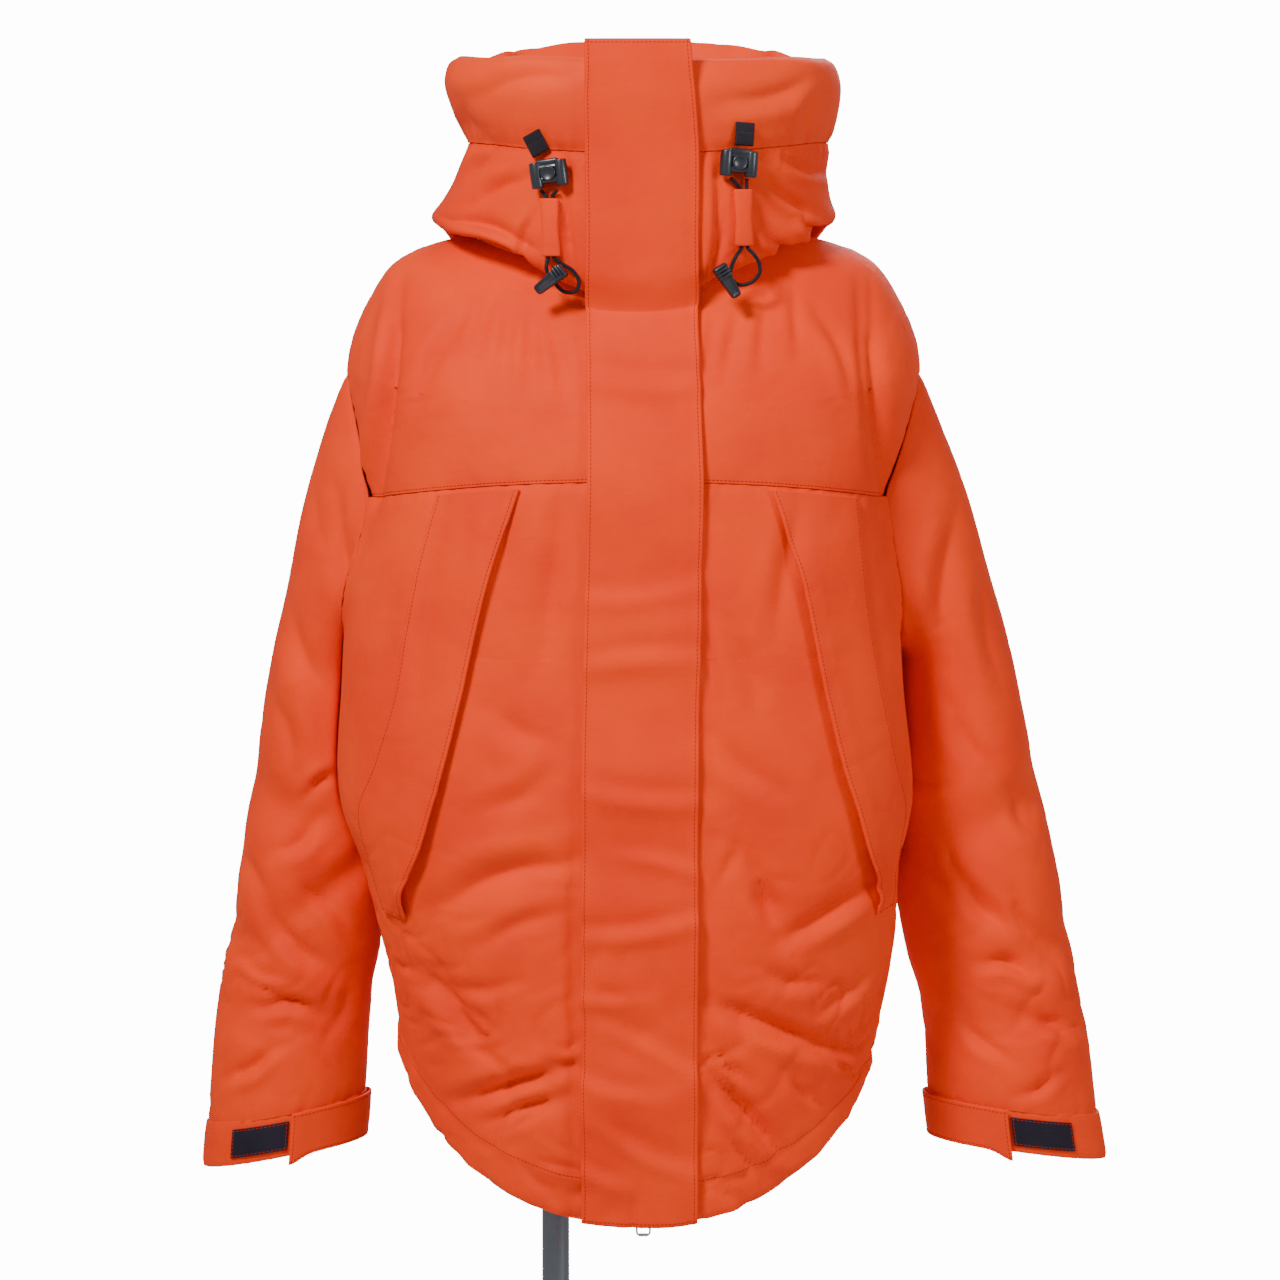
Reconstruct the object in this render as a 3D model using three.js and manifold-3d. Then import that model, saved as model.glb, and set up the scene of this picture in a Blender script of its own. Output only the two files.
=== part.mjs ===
// A hooded, padded jacket, zipped up and worn on a limbless dress form with a pole and a round base.
// Millimetres, +Z up. The jacket faces -Y, and -X is the left of the picture.
// The origin lies on the floor, at the middle of the base.
import * as THREE from "three";
import { mergeVertices } from "three/addons/utils/BufferGeometryUtils.js";
import Module from "manifold-3d";

// Driving sizes
const CLOTH = 4; // shell, thin padding and lining together
const OVERLAY = 2.6; // pocket panel and placket, which lie on the fronts
const SEAM = 0.4; // gap between two pieces that are sewn together
const SQUARE = 2.35; // exponent of a body section, 2 is an ellipse
const POLE = { radius: 11, x: -68, y: 0 };
const BASE = { radius: 190, thick: 10 };
const CORD = 3;
const DEG = Math.PI / 180;

// Colours and surfaces
const finish = (color, roughness, metalness = 0) => () =>
  new THREE.MeshStandardMaterial({ color, roughness, metalness, side: THREE.DoubleSide });
const shellCloth = finish(0xe2491c, 0.8);
const overlayCloth = finish(0xdd4219, 0.78);
const collarCloth = finish(0xe6522a, 0.8);
const blackPlastic = finish(0x1d1f27, 0.4);
const blackWeb = finish(0x1f2029, 0.75);
const hookTape = finish(0x25232f, 0.9);
const silver = finish(0xb9bbbd, 0.3, 1);
const formCover = finish(0xe9e5dc, 0.85);
const steel = finish(0x8d9093, 0.35, 0.9);

const group = new THREE.Group();
group.name = "puffer_jacket_on_dress_form";

function place(name, geometry, material) {
  const mesh = new THREE.Mesh(geometry, material());
  mesh.name = name;
  group.add(mesh);
  return mesh;
}

const V = (x, y, z) => new THREE.Vector3(x, y, z);
const mix = (a, b, t) => a + (b - a) * t;
const range = (count) => Array.from({ length: count }, (_, i) => i);
// Evenly spread values from a to b, both included.
const spread = (a, b, steps) => range(steps + 1).map((i) => mix(a, b, i / steps));

// Smooth value of one column of a table of rows, at a row number that may fall between rows.
function column(rows, name, r) {
  const last = rows.length - 1;
  const i = Math.min(Math.max(Math.floor(r), 0), last - 1);
  const t = r - i;
  const p = (k) => {
    if (k < 0) return 2 * rows[0][name] - rows[1][name];
    if (k > last) return 2 * rows[last][name] - rows[last - 1][name];
    return rows[k][name];
  };
  const [a, b, c, d] = [p(i - 1), p(i), p(i + 1), p(i + 2)];
  return b + 0.5 * t * (c - a + t * (2 * a - 5 * b + 4 * c - d + t * (3 * (b - c) + d - a)));
}

// Straight-line value of a column at a height, for a table that lists heights.
function atHeight(rows, name, z) {
  const up = rows[0].z < rows[rows.length - 1].z ? rows : [...rows].reverse();
  if (z <= up[0].z) return up[0][name];
  for (let i = 1; i < up.length; i++)
    if (z <= up[i].z)
      return mix(up[i - 1][name], up[i][name], (z - up[i - 1].z) / (up[i].z - up[i - 1].z));
  return up[up.length - 1][name];
}

// Body of the jacket: one row for each level, from the hem up to the neck seam.
// zFront, zSide, zBack are the heights of a level, left and right its half widths,
// front and back its depths, and broad the depth at which it is widest.
const BODY = [
  { zFront: 660, zSide: 781, zBack: 640, left: 193, right: 188, front: -146, back: 138, broad: -30 },
  { zFront: 742, zSide: 824, zBack: 728, left: 196, right: 195, front: -158, back: 146, broad: -32 },
  { zFront: 830, zSide: 876, zBack: 824, left: 207, right: 203, front: -166, back: 151, broad: -36 },
  { zFront: 910, zSide: 930, zBack: 908, left: 220, right: 206, front: -170, back: 154, broad: -40 },
  { zFront: 985, zSide: 988, zBack: 985, left: 238, right: 216, front: -171, back: 156, broad: -42 },
  { zFront: 1072, zSide: 1072, zBack: 1078, left: 237, right: 210, front: -170, back: 157, broad: -42 },
  { zFront: 1158, zSide: 1150, zBack: 1170, left: 231, right: 204, front: -168, back: 156, broad: -38 },
  { zFront: 1238, zSide: 1222, zBack: 1256, left: 217, right: 199, front: -164, back: 152, broad: -26 },
  { zFront: 1292, zSide: 1322, zBack: 1330, left: 233, right: 224, front: -155, back: 142, broad: 6 },
  { zFront: 1332, zSide: 1386, zBack: 1390, left: 213, right: 204, front: -142, back: 124, broad: 14 },
  { zFront: 1358, zSide: 1418, zBack: 1428, left: 178, right: 170, front: -130, back: 104, broad: 16 },
  { zFront: 1374, zSide: 1438, zBack: 1446, left: 92, right: 88, front: -121, back: 78, broad: 8 },
];
const LEVEL = { hem: 0, yoke: 7, neck: 11 };

// Hood: the lower band rolls out over the shoulders, the upper band stands as a funnel,
// and the crown hangs behind as an open pouch.
const HOOD = [
  { zFront: 1375, zSide: 1440, zBack: 1448, left: 94, right: 90, front: -123, back: 80, broad: 8 },
  { zFront: 1381, zSide: 1440, zBack: 1445, left: 122, right: 116, front: -128, back: 114, broad: 8 },
  { zFront: 1389, zSide: 1438, zBack: 1404, left: 146, right: 138, front: -132, back: 148, broad: 8 },
  { zFront: 1399, zSide: 1436, zBack: 1354, left: 160, right: 150, front: -135, back: 168, broad: 8 },
  { zFront: 1413, zSide: 1444, zBack: 1350, left: 166, right: 156, front: -137, back: 200, broad: 8 },
  { zFront: 1434, zSide: 1458, zBack: 1382, left: 157, right: 152, front: -139, back: 222, broad: 10 },
  { zFront: 1460, zSide: 1477, zBack: 1440, left: 147, right: 149, front: -139, back: 226, broad: 12 },
  { zFront: 1490, zSide: 1501, zBack: 1504, left: 139, right: 150, front: -138, back: 214, broad: 10 },
  { zFront: 1515, zSide: 1523, zBack: 1546, left: 148, right: 155, front: -141, back: 192, broad: 4 },
  { zFront: 1540, zSide: 1545, zBack: 1572, left: 155, right: 158, front: -143, back: 164, broad: 0 },
  { zFront: 1557, zSide: 1561, zBack: 1584, left: 152, right: 154, front: -138, back: 134, broad: 0 },
  { zFront: 1562, zSide: 1567, zBack: 1588, left: 144, right: 146, front: -129, back: 120, broad: 0 },
];
const HOOD_LEVEL = { neck: 0, roll: 4, seam: 7, rim: 11 };

// Main folds of the body: soft troughs between two points of the front or back,
// each with its own width and depth. A negative depth is a ridge.
const FOLDS = [
  { face: "front", x0: -66, z0: 782, x1: -136, z1: 755, wide: 13, deep: 6 },
  { face: "front", x0: -68, z0: 758, x1: -110, z1: 742, wide: 11, deep: 5 },
  { face: "front", x0: -160, z0: 842, x1: -128, z1: 806, wide: 14, deep: 5 },
  { face: "front", x0: -62, z0: 944, x1: -148, z1: 912, wide: 18, deep: 5 },
  { face: "front", x0: 74, z0: 830, x1: 156, z1: 792, wide: 13, deep: 7 },
  { face: "front", x0: 64, z0: 770, x1: 110, z1: 716, wide: 12, deep: 6 },
  { face: "front", x0: 92, z0: 934, x1: 106, z1: 894, wide: 14, deep: 5 },
  { face: "front", x0: 124, z0: 892, x1: 172, z1: 918, wide: 13, deep: 5 },
  { face: "front", x0: -60, z0: 1220, x1: -72, z1: 1116, wide: 16, deep: 3 },
  { face: "front", x0: -176, z0: 1384, x1: -186, z1: 1290, wide: 13, deep: 5 },
  { face: "front", x0: 166, z0: 1384, x1: 172, z1: 1290, wide: 13, deep: 5 },
  { face: "back", x0: -120, z0: 800, x1: -40, z1: 770, wide: 16, deep: 6 },
  { face: "back", x0: 130, z0: 860, x1: 50, z1: 822, wide: 17, deep: 6 },
  { face: "back", x0: -150, z0: 900, x1: -70, z1: 930, wide: 18, deep: 5 },
  { face: "back", x0: 40, z0: 950, x1: 140, z1: 980, wide: 18, deep: 5 },
  { face: "back", x0: -20, z0: 1240, x1: -34, z1: 1080, wide: 20, deep: 4 },
  { face: "back", x0: 90, z0: 1230, x1: 112, z1: 1090, wide: 18, deep: 4 },
];

function foldDepth(point, face) {
  let depth = 0;
  for (const f of FOLDS) {
    if (f.face !== face) continue;
    const [dx, dz] = [f.x1 - f.x0, f.z1 - f.z0];
    const along = ((point.x - f.x0) * dx + (point.z - f.z0) * dz) / (dx * dx + dz * dz);
    const t = Math.min(Math.max(along, 0), 1);
    const off = Math.hypot(point.x - f.x0 - t * dx, point.z - f.z0 - t * dz);
    depth += f.deep * Math.exp(-((off / f.wide) ** 2));
  }
  return depth;
}

// A level as a closed curve: angle 0 is the centre front and 90 degrees the +X side.
function levelPoint(rows, angle, r) {
  const s = Math.sin(angle);
  const c = Math.cos(angle);
  const half = column(rows, s < 0 ? "left" : "right", r);
  const broad = column(rows, "broad", r);
  const depth = column(rows, c > 0 ? "front" : "back", r) - broad;
  const zEnd = column(rows, c > 0 ? "zFront" : "zBack", r);
  const zSide = column(rows, "zSide", r);
  const power = 2 / SQUARE;
  return V(
    half * Math.sign(s) * Math.abs(s) ** power,
    broad + depth * Math.abs(c) ** power,
    mix(zSide, zEnd, c * c),
  );
}

function surfaceNormal(point, angle, r, last) {
  const step = 0.02;
  const around = point(angle + step, r).sub(point(angle - step, r));
  const low = Math.max(r - step, 0);
  const high = Math.min(r + step, last);
  const up = point(angle, high).sub(point(angle, low));
  return around.cross(up).normalize();
}

const plainBody = (angle, r) => levelPoint(BODY, angle, r);
function bodyPoint(angle, r) {
  const p = plainBody(angle, r);
  const dip = foldDepth(p, Math.cos(angle) > 0 ? "front" : "back");
  const n = surfaceNormal(plainBody, angle, r, LEVEL.neck);
  return p.addScaledVector(n, -dip);
}
const hoodPoint = (angle, r) => levelPoint(HOOD, angle, r);
const bodyNormal = (angle, r) => surfaceNormal(plainBody, angle, r, LEVEL.neck);
const hoodNormal = (angle, r) => surfaceNormal(hoodPoint, angle, r, HOOD_LEVEL.rim);

// The angle at which a level reaches a given distance from the centre plane, at its front.
function angleAtX(rows, x, r) {
  const half = column(rows, x < 0 ? "left" : "right", r);
  return Math.sign(x) * Math.asin(Math.min(Math.abs(x) / half, 1) ** (SQUARE / 2));
}

// A closed wall from an outer grid, an inner grid and the edges between them.
// Columns run anticlockwise seen from above and rows upwards, or the wall is flipped.
function wall(outer, inner, { wrap = false, flip = false } = {}) {
  const rows = outer.length;
  const cols = outer[0].length;
  const points = [...outer.flat(), ...inner.flat()];
  const index = [];
  const tri = (a, b, c) => (flip ? index.push(a, c, b) : index.push(a, b, c));
  const quad = (a, b, c, d) => {
    tri(a, b, c);
    tri(a, c, d);
  };
  const o = (r, c) => r * cols + (c % cols);
  const i = (r, c) => rows * cols + o(r, c);
  const lastCol = wrap ? cols : cols - 1;
  for (let r = 0; r < rows - 1; r++)
    for (let c = 0; c < lastCol; c++) {
      quad(o(r, c), o(r, c + 1), o(r + 1, c + 1), o(r + 1, c));
      quad(i(r, c), i(r + 1, c), i(r + 1, c + 1), i(r, c + 1));
    }
  for (let c = 0; c < lastCol; c++) {
    quad(o(0, c + 1), o(0, c), i(0, c), i(0, c + 1));
    quad(o(rows - 1, c), o(rows - 1, c + 1), i(rows - 1, c + 1), i(rows - 1, c));
  }
  if (!wrap)
    for (let r = 0; r < rows - 1; r++) {
      quad(o(r, 0), o(r + 1, 0), i(r + 1, 0), i(r, 0));
      quad(o(r + 1, cols - 1), o(r, cols - 1), i(r, cols - 1), i(r + 1, cols - 1));
    }
  const geometry = new THREE.BufferGeometry();
  geometry.setAttribute(
    "position",
    new THREE.Float32BufferAttribute(points.flatMap((p) => [p.x, p.y, p.z]), 3),
  );
  geometry.setIndex(index);
  geometry.computeVertexNormals();
  return geometry;
}

// A solid of stacked rings with flat ends, for the dress form and other whole bodies.
function stack(rings) {
  const cols = rings[0].length;
  const middle = (ring) =>
    ring.reduce((sum, p) => sum.add(p), V(0, 0, 0)).multiplyScalar(1 / ring.length);
  const points = [...rings.flat(), middle(rings[0]), middle(rings[rings.length - 1])];
  const index = [];
  const at = (r, c) => r * cols + (c % cols);
  for (let r = 0; r < rings.length - 1; r++)
    for (let c = 0; c < cols; c++)
      index.push(at(r, c), at(r, c + 1), at(r + 1, c + 1), at(r, c), at(r + 1, c + 1), at(r + 1, c));
  for (let c = 0; c < cols; c++) {
    index.push(points.length - 2, at(0, c + 1), at(0, c));
    index.push(points.length - 1, at(rings.length - 1, c), at(rings.length - 1, c + 1));
  }
  const geometry = new THREE.BufferGeometry();
  geometry.setAttribute(
    "position",
    new THREE.Float32BufferAttribute(points.flatMap((p) => [p.x, p.y, p.z]), 3),
  );
  geometry.setIndex(index);
  geometry.computeVertexNormals();
  return geometry;
}

// A panel cut from a surface: for each level, the angles of its two edges.
// out moves it off the surface, and the edges keep half a seam's gap.
function panel({ point, normal, levels, from, to, cols, thick = CLOTH, out = () => 0 }) {
  const outer = [];
  const inner = [];
  levels.forEach((r, row) => {
    const [a, b] = [from(r), to(r)];
    const reach = point(a, r).distanceTo(point(b, r)) / Math.max(Math.abs(b - a), 1e-6);
    const inset = SEAM / 2 / Math.max(reach, 60);
    const angles = spread(a + inset, b - inset, cols);
    const line = angles.map((angle) => point(angle, r));
    const facing = angles.map((angle) => normal(angle, r));
    outer.push(line.map((p, k) => p.clone().addScaledVector(facing[k], out(k / cols, r))));
    inner.push(outer[row].map((p, k) => p.clone().addScaledVector(facing[k], -thick)));
  });
  return wall(outer, inner);
}

// Armhole: an oval in angle and level, from the dropped shoulder seam down to the underarm.
const ARM = {
  low: 5.35,
  high: 7.98,
  ahead: 17 * DEG,
  behind: 32 * DEG,
  seamLow: 104 * DEG,
  seamHigh: 91 * DEG,
  oval: 0.8,
};
const ARM_STEPS = 10; // half the number of a sleeve's columns, so that their points meet
const armMid = (ARM.low + ARM.high) / 2;
const armHalf = (ARM.high - ARM.low) / 2;
const armLevels = spread(-90, 90, ARM_STEPS).map((a) => armMid + armHalf * Math.sin(a * DEG));
// Side seam below the armhole and shoulder seam above it, as an angle from the centre front.
function seamAngle(r) {
  if (r <= ARM.low) return ARM.seamLow;
  if (r >= ARM.high) return ARM.seamHigh;
  return mix(ARM.seamLow, ARM.seamHigh, (r - ARM.low) / (ARM.high - ARM.low));
}
function armEdge(r, reach) {
  if (r <= ARM.low || r >= ARM.high) return 0;
  return reach * Math.sqrt(Math.max(1 - ((r - armMid) / armHalf) ** 2, 0)) ** ARM.oval;
}
const armFront = (r) => seamAngle(r) - armEdge(r, ARM.ahead);
const armBack = (r) => seamAngle(r) + armEdge(r, ARM.behind);

const CENTRE = 9.5; // half width of the gap between the fronts, which the zip fills
const YOKE_CUT = 0.004; // half the gap between a lower panel and its yoke, in levels
const lowLevels = [
  ...spread(LEVEL.hem, 3, 9),
  ...spread(3.5, ARM.low - 0.4, 3),
  ...armLevels.filter((r) => r < LEVEL.yoke - 0.02),
  LEVEL.yoke - YOKE_CUT,
];
const highLevels = [
  LEVEL.yoke + YOKE_CUT,
  ...armLevels.filter((r) => r > LEVEL.yoke + 0.02),
  ...spread(8.4, LEVEL.neck, 6),
];

// Fronts and backs. A piece of the -X side runs the other way round.
function bodyPanels(side, name) {
  const centre = (r) => side * angleAtX(BODY, CENTRE, r);
  const cut = (label, levels, inner, outer, cols) =>
    place(
      label,
      panel({
        point: bodyPoint,
        normal: bodyNormal,
        levels,
        from: side > 0 ? inner : outer,
        to: side > 0 ? outer : inner,
        cols,
      }),
      shellCloth,
    );
  cut(`front_lower_${name}`, lowLevels, centre, (r) => side * armFront(r), 11);
  cut(`front_yoke_${name}`, highLevels, centre, (r) => side * armFront(r), 9);
}
bodyPanels(-1, "left");
bodyPanels(1, "right");
const backPanel = (label, levels, cols) =>
  place(
    label,
    panel({
      point: bodyPoint,
      normal: bodyNormal,
      levels,
      from: (r) => armBack(r),
      to: (r) => 2 * Math.PI - armBack(r),
      cols,
    }),
    shellCloth,
  );
backPanel("back_lower", lowLevels, 14);
backPanel("back_yoke", highLevels, 14);

// Sleeves: one row for each ring below the armhole, with its outer and inner points in the front view.
const SLEEVE_LEFT = [
  { outX: -303, outZ: 1066, inX: -212, inZ: 1092, mid: 50, deep: 84 },
  { outX: -312, outZ: 1004, inX: -208, inZ: 1026, mid: 49, deep: 80 },
  { outX: -320, outZ: 945, inX: -205, inZ: 966, mid: 46, deep: 76 },
  { outX: -329, outZ: 890, inX: -205, inZ: 912, mid: 43, deep: 72 },
  { outX: -340, outZ: 833, inX: -210, inZ: 856, mid: 39, deep: 67 },
  { outX: -347, outZ: 775, inX: -218, inZ: 800, mid: 35, deep: 61 },
  { outX: -350, outZ: 712.4, inX: -222, inZ: 737.4, mid: 30, deep: 53 },
];
const SLEEVE_RIGHT = [
  { outX: 306, outZ: 1066, inX: 207, inZ: 1092, mid: 50, deep: 84 },
  { outX: 320, outZ: 1004, inX: 205, inZ: 1026, mid: 49, deep: 80 },
  { outX: 334, outZ: 940, inX: 205, inZ: 962, mid: 46, deep: 76 },
  { outX: 345, outZ: 886, inX: 206, inZ: 908, mid: 43, deep: 72 },
  { outX: 355, outZ: 830, inX: 216, inZ: 850, mid: 39, deep: 67 },
  { outX: 366, outZ: 775, inX: 229, inZ: 796, mid: 35, deep: 61 },
  { outX: 371, outZ: 719.4, inX: 233, inZ: 737.4, mid: 30, deep: 53 },
];
const CUFF_LEFT = [
  { outX: -352, outZ: 711.7, inX: -221, inZ: 736.7, mid: 30, deep: 52 },
  { outX: -354, outZ: 695, inX: -222, inZ: 720, mid: 29, deep: 50 },
  { outX: -355, outZ: 678, inX: -224, inZ: 703, mid: 28, deep: 48 },
];
const CUFF_RIGHT = [
  { outX: 373, outZ: 718.7, inX: 232, inZ: 736.7, mid: 30, deep: 52 },
  { outX: 376, outZ: 702, inX: 234, inZ: 720, mid: 29, deep: 50 },
  { outX: 379, outZ: 685, inX: 236, inZ: 704, mid: 28, deep: 48 },
];
// Folds of the sleeves: angle round the sleeve from its outer side, ring number and size.
const SLEEVE_FOLDS = [
  { angle: 60, ring: 1.6, wide: 0.35, deep: 7, tilt: 0.5 },
  { angle: 110, ring: 2.9, wide: 0.32, deep: 7, tilt: -0.6 },
  { angle: 50, ring: 3.6, wide: 0.3, deep: 6, tilt: 0.4 },
  { angle: 85, ring: 4.7, wide: 0.3, deep: 6, tilt: 0.3 },
  { angle: 250, ring: 2.2, wide: 0.34, deep: 8, tilt: 0.5 },
  { angle: 285, ring: 3.6, wide: 0.34, deep: 7, tilt: -0.5 },
  { angle: 240, ring: 4.8, wide: 0.3, deep: 6, tilt: 0.3 },
];
const FOLD_SPREAD = 55; // how far a sleeve's fold runs round it, in degrees
const SLEEVE_SQUARE = 2.15; // exponent of a sleeve's section
const SLEEVE_COLS = 20;
const SLEEVE_STEPS = 13; // rings of a sleeve from the end of its cap to the cuff
const CLEAR = 3; // room between a sleeve and the body beside it
const NEAR = 30; // how far from the body's side a point still has to keep clear of it

// Ring of a sleeve: angle 0 is its outer side and 90 degrees its front.
function sleeveRing(rows, r, angle, fold = 0) {
  const get = (name) => column(rows, name, r);
  const outer = V(get("outX"), get("mid"), get("outZ"));
  const inner = V(get("inX"), get("mid"), get("inZ"));
  const centre = outer.clone().lerp(inner, 0.5);
  const half = outer.clone().sub(centre);
  const power = 2 / SLEEVE_SQUARE;
  const c = Math.cos(angle);
  const s = Math.sin(angle);
  const reach = 1 - fold / Math.max(half.length(), 1);
  return centre
    .addScaledVector(half, Math.sign(c) * Math.abs(c) ** power * reach)
    .add(V(0, -get("deep") * Math.sign(s) * Math.abs(s) ** power * reach, 0));
}

function sleeveFold(angle, r) {
  let depth = 0;
  for (const f of SLEEVE_FOLDS) {
    let off = angle / DEG - f.angle;
    off -= 360 * Math.round(off / 360);
    const across = (r - f.ring - (f.tilt * off) / FOLD_SPREAD) / f.wide;
    depth += f.deep * Math.exp(-(across ** 2) - (off / FOLD_SPREAD) ** 2);
  }
  return depth;
}

// Points of the body's side, to keep a sleeve clear of it.
const sidePoints = { [-1]: [], [1]: [] };
for (const side of [-1, 1])
  for (const r of spread(0.5, 7, 52))
    for (const a of spread(50, 150, 40)) sidePoints[side].push(plainBody(side * a * DEG, r));
function bodyReach(side, y, z) {
  let best = Infinity;
  let reach = 0;
  for (const p of sidePoints[side]) {
    const off = (p.y - y) ** 2 + (p.z - z) ** 2;
    if (off < best) [best, reach] = [off, Math.abs(p.x)];
  }
  return best < NEAR ** 2 ? reach : 0;
}
function clearOfBody(side, p) {
  const least = bodyReach(side, p.y, p.z) + CLEAR;
  if (Math.abs(p.x) < least) p.x = side * least;
  return p;
}

// The armhole's edge as a loop that a sleeve's ring angles match: outer side is its top.
function armLoop(side, angle) {
  const t = Math.cos(angle);
  const r = armMid + armHalf * t;
  const edge = Math.sin(angle) >= 0 ? armFront(r) : armBack(r);
  const p = bodyPoint(side * edge, r);
  const n = bodyNormal(side * edge, r);
  return { p, n };
}

const CAP = 6; // rings between the armhole and the first ring of the table
// Ways in which the cap leaves the armhole and arrives at the first ring of the table.
const CAP_WAY = {
  leave: { out: 0.14, back: 0.02, down: 0.95, normal: 0.25 },
  arrive: { out: 0.22, back: -0.02, down: 0.97 },
};
const wayOf = ({ out, back, down }, side) => V(side * out, back, -down);
function sleevePoint(side, rows, step, angle) {
  if (step >= CAP) {
    const r = ((step - CAP) * (rows.length - 1)) / SLEEVE_STEPS;
    const p = sleeveRing(rows, r, angle, sleeveFold(angle, r));
    return clearOfBody(side, p);
  }
  const t = step / CAP;
  const { p: start, n } = armLoop(side, angle);
  const end = sleeveRing(rows, 0, angle);
  const span = start.distanceTo(end);
  const leave = wayOf(CAP_WAY.leave, side).addScaledVector(n, CAP_WAY.leave.normal);
  leave.setLength(span);
  const arrive = wayOf(CAP_WAY.arrive, side).multiplyScalar(span);
  const [t2, t3] = [t * t, t * t * t];
  const p = start
    .clone()
    .multiplyScalar(2 * t3 - 3 * t2 + 1)
    .addScaledVector(leave, t3 - 2 * t2 + t)
    .addScaledVector(end, 3 * t2 - 2 * t3)
    .addScaledVector(arrive, t3 - t2);
  return clearOfBody(side, p);
}

// Normals of a grid from its own points. A wrapped grid's last column meets its first.
function gridNormals(grid, sign, wrap = true) {
  const rows = grid.length;
  const cols = grid[0].length;
  const next = (c) => (wrap ? (c + 1) % cols : Math.min(c + 1, cols - 1));
  const before = (c) => (wrap ? (c + cols - 1) % cols : Math.max(c - 1, 0));
  return grid.map((line, r) =>
    line.map((p, c) => {
      const around = grid[r][next(c)].clone().sub(grid[r][before(c)]);
      const along = grid[Math.min(r + 1, rows - 1)][c].clone().sub(grid[Math.max(r - 1, 0)][c]);
      return around.cross(along).normalize().multiplyScalar(sign);
    }),
  );
}
function setBack(grid, normals, depth) {
  return grid.map((line, r) => line.map((p, c) => p.clone().addScaledVector(normals[r][c], -depth)));
}

// Strips on a cuff: from and to are angles, top and bottom rings, and lift the gap under them.
const CUFF_TAB = { from: 96, to: 205, top: 0.03, bottom: 1.98, thick: 2.4, cols: 9, lift: 0.9 };
const HOOK_PATCH = { from: 55, to: 94, top: 0.35, bottom: 1.62, thick: 1.6, cols: 4, lift: 0.3 };
const CAP_OFF = { gap: 2 * SEAM, underarm: 5 * SEAM }; // the cap's gap off the armhole

function sleeve(side, name, rows, cuffRows) {
  // Angles run front to back on the +X side and back to front on the other, so both face outwards.
  const angles = range(SLEEVE_COLS).map((i) => (i / SLEEVE_COLS) * 2 * Math.PI);
  const grid = range(CAP + SLEEVE_STEPS + 1).map((step) =>
    angles.map((angle) => sleevePoint(side, rows, step, angle)),
  );
  const sign = side > 0 ? 1 : -1;
  const normals = gridNormals(grid, sign);
  angles.forEach((angle, c) => {
    const { p, n } = armLoop(side, angle);
    // The cap starts a seam's gap off the armhole, and its edge is cut square to the yoke's at the top.
    const away = grid[1][c].clone().sub(p).normalize();
    const low = Math.max(-Math.cos(angle), 0);
    away.x += side * low;
    grid[0][c] = p.clone().addScaledVector(away.normalize(), CAP_OFF.gap + CAP_OFF.underarm * low);
    normals[0][c].lerp(n, Math.max(Math.cos(angle), 0));
    // The cap's rings crowd together at the underarm, where its wall simply faces the body.
    for (const r of range(CAP + 1)) normals[r][c].lerp(V(-side, 0, 0), low ** 0.5).normalize();
  });
  place(
    `sleeve_${name}`,
    wall(grid, setBack(grid, normals, CLOTH), { wrap: true, flip: side < 0 }),
    shellCloth,
  );
  const cuffPoint = (r, angle) => sleeveRing(cuffRows, r, angle);
  const cuff = spread(0, 2, 2).map((r) => angles.map((angle) => cuffPoint(r, angle)));
  place(
    `cuff_${name}`,
    wall(cuff, setBack(cuff, gridNormals(cuff, sign), CLOTH), { wrap: true, flip: side < 0 }),
    shellCloth,
  );
  const strip = (label, { from, to, top, bottom, thick, cols, lift }, material) => {
    const point = (r, a) => {
      const step = 0.03;
      const around = cuffPoint(r, a + step).sub(cuffPoint(r, a - step));
      const along = cuffPoint(r + step, a).sub(cuffPoint(r - step, a));
      return { p: cuffPoint(r, a), n: around.cross(along).normalize().multiplyScalar(sign) };
    };
    const lines = spread(top, bottom, 3).map((r) =>
      spread(from, to, cols).map((a) => point(r, a * DEG)),
    );
    const raised = (out) =>
      lines.map((line) => line.map(({ p, n }) => p.clone().addScaledVector(n, out)));
    place(label, wall(raised(lift + thick), raised(lift), { flip: side < 0 }), material);
  };
  strip(`cuff_tab_${name}`, CUFF_TAB, shellCloth);
  strip(`hook_patch_${name}`, HOOK_PATCH, hookTape);
}
sleeve(-1, "left", SLEEVE_LEFT, CUFF_LEFT);
sleeve(1, "right", SLEEVE_RIGHT, CUFF_RIGHT);

const HOOD_CLOTH = 3.2;
// Hood panels: lower bands and upper bands of the two sides, and the crown that hangs behind.
const BACK_SEAM = { side: 127.8 * DEG, crown: 128.25 * DEG };
const hoodCentre = (side) => (r) => side * angleAtX(HOOD, CENTRE, r);
const bandLevels = spread(HOOD_LEVEL.seam + 0.02, HOOD_LEVEL.rim, 4);
const rollLevels = [0, 0.5, 1, 1.5, 2, 2.6, 3.2, 3.8, 4.4, 5, 6, HOOD_LEVEL.seam - 0.02];
function hoodPanel(label, levels, from, to, cols, material) {
  const shape = { point: hoodPoint, normal: hoodNormal, levels, from, to, cols };
  place(label, panel({ ...shape, thick: HOOD_CLOTH }), material);
}
const SIDES = [
  [-1, "left"],
  [1, "right"],
];
for (const [side, name] of SIDES) {
  const centre = hoodCentre(side);
  const edge = () => side * BACK_SEAM.side;
  const [from, to] = side > 0 ? [centre, edge] : [edge, centre];
  hoodPanel(`hood_lower_${name}`, rollLevels, from, to, 11, shellCloth);
  hoodPanel(`hood_band_${name}`, bandLevels, from, to, 11, collarCloth);
}
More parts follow.
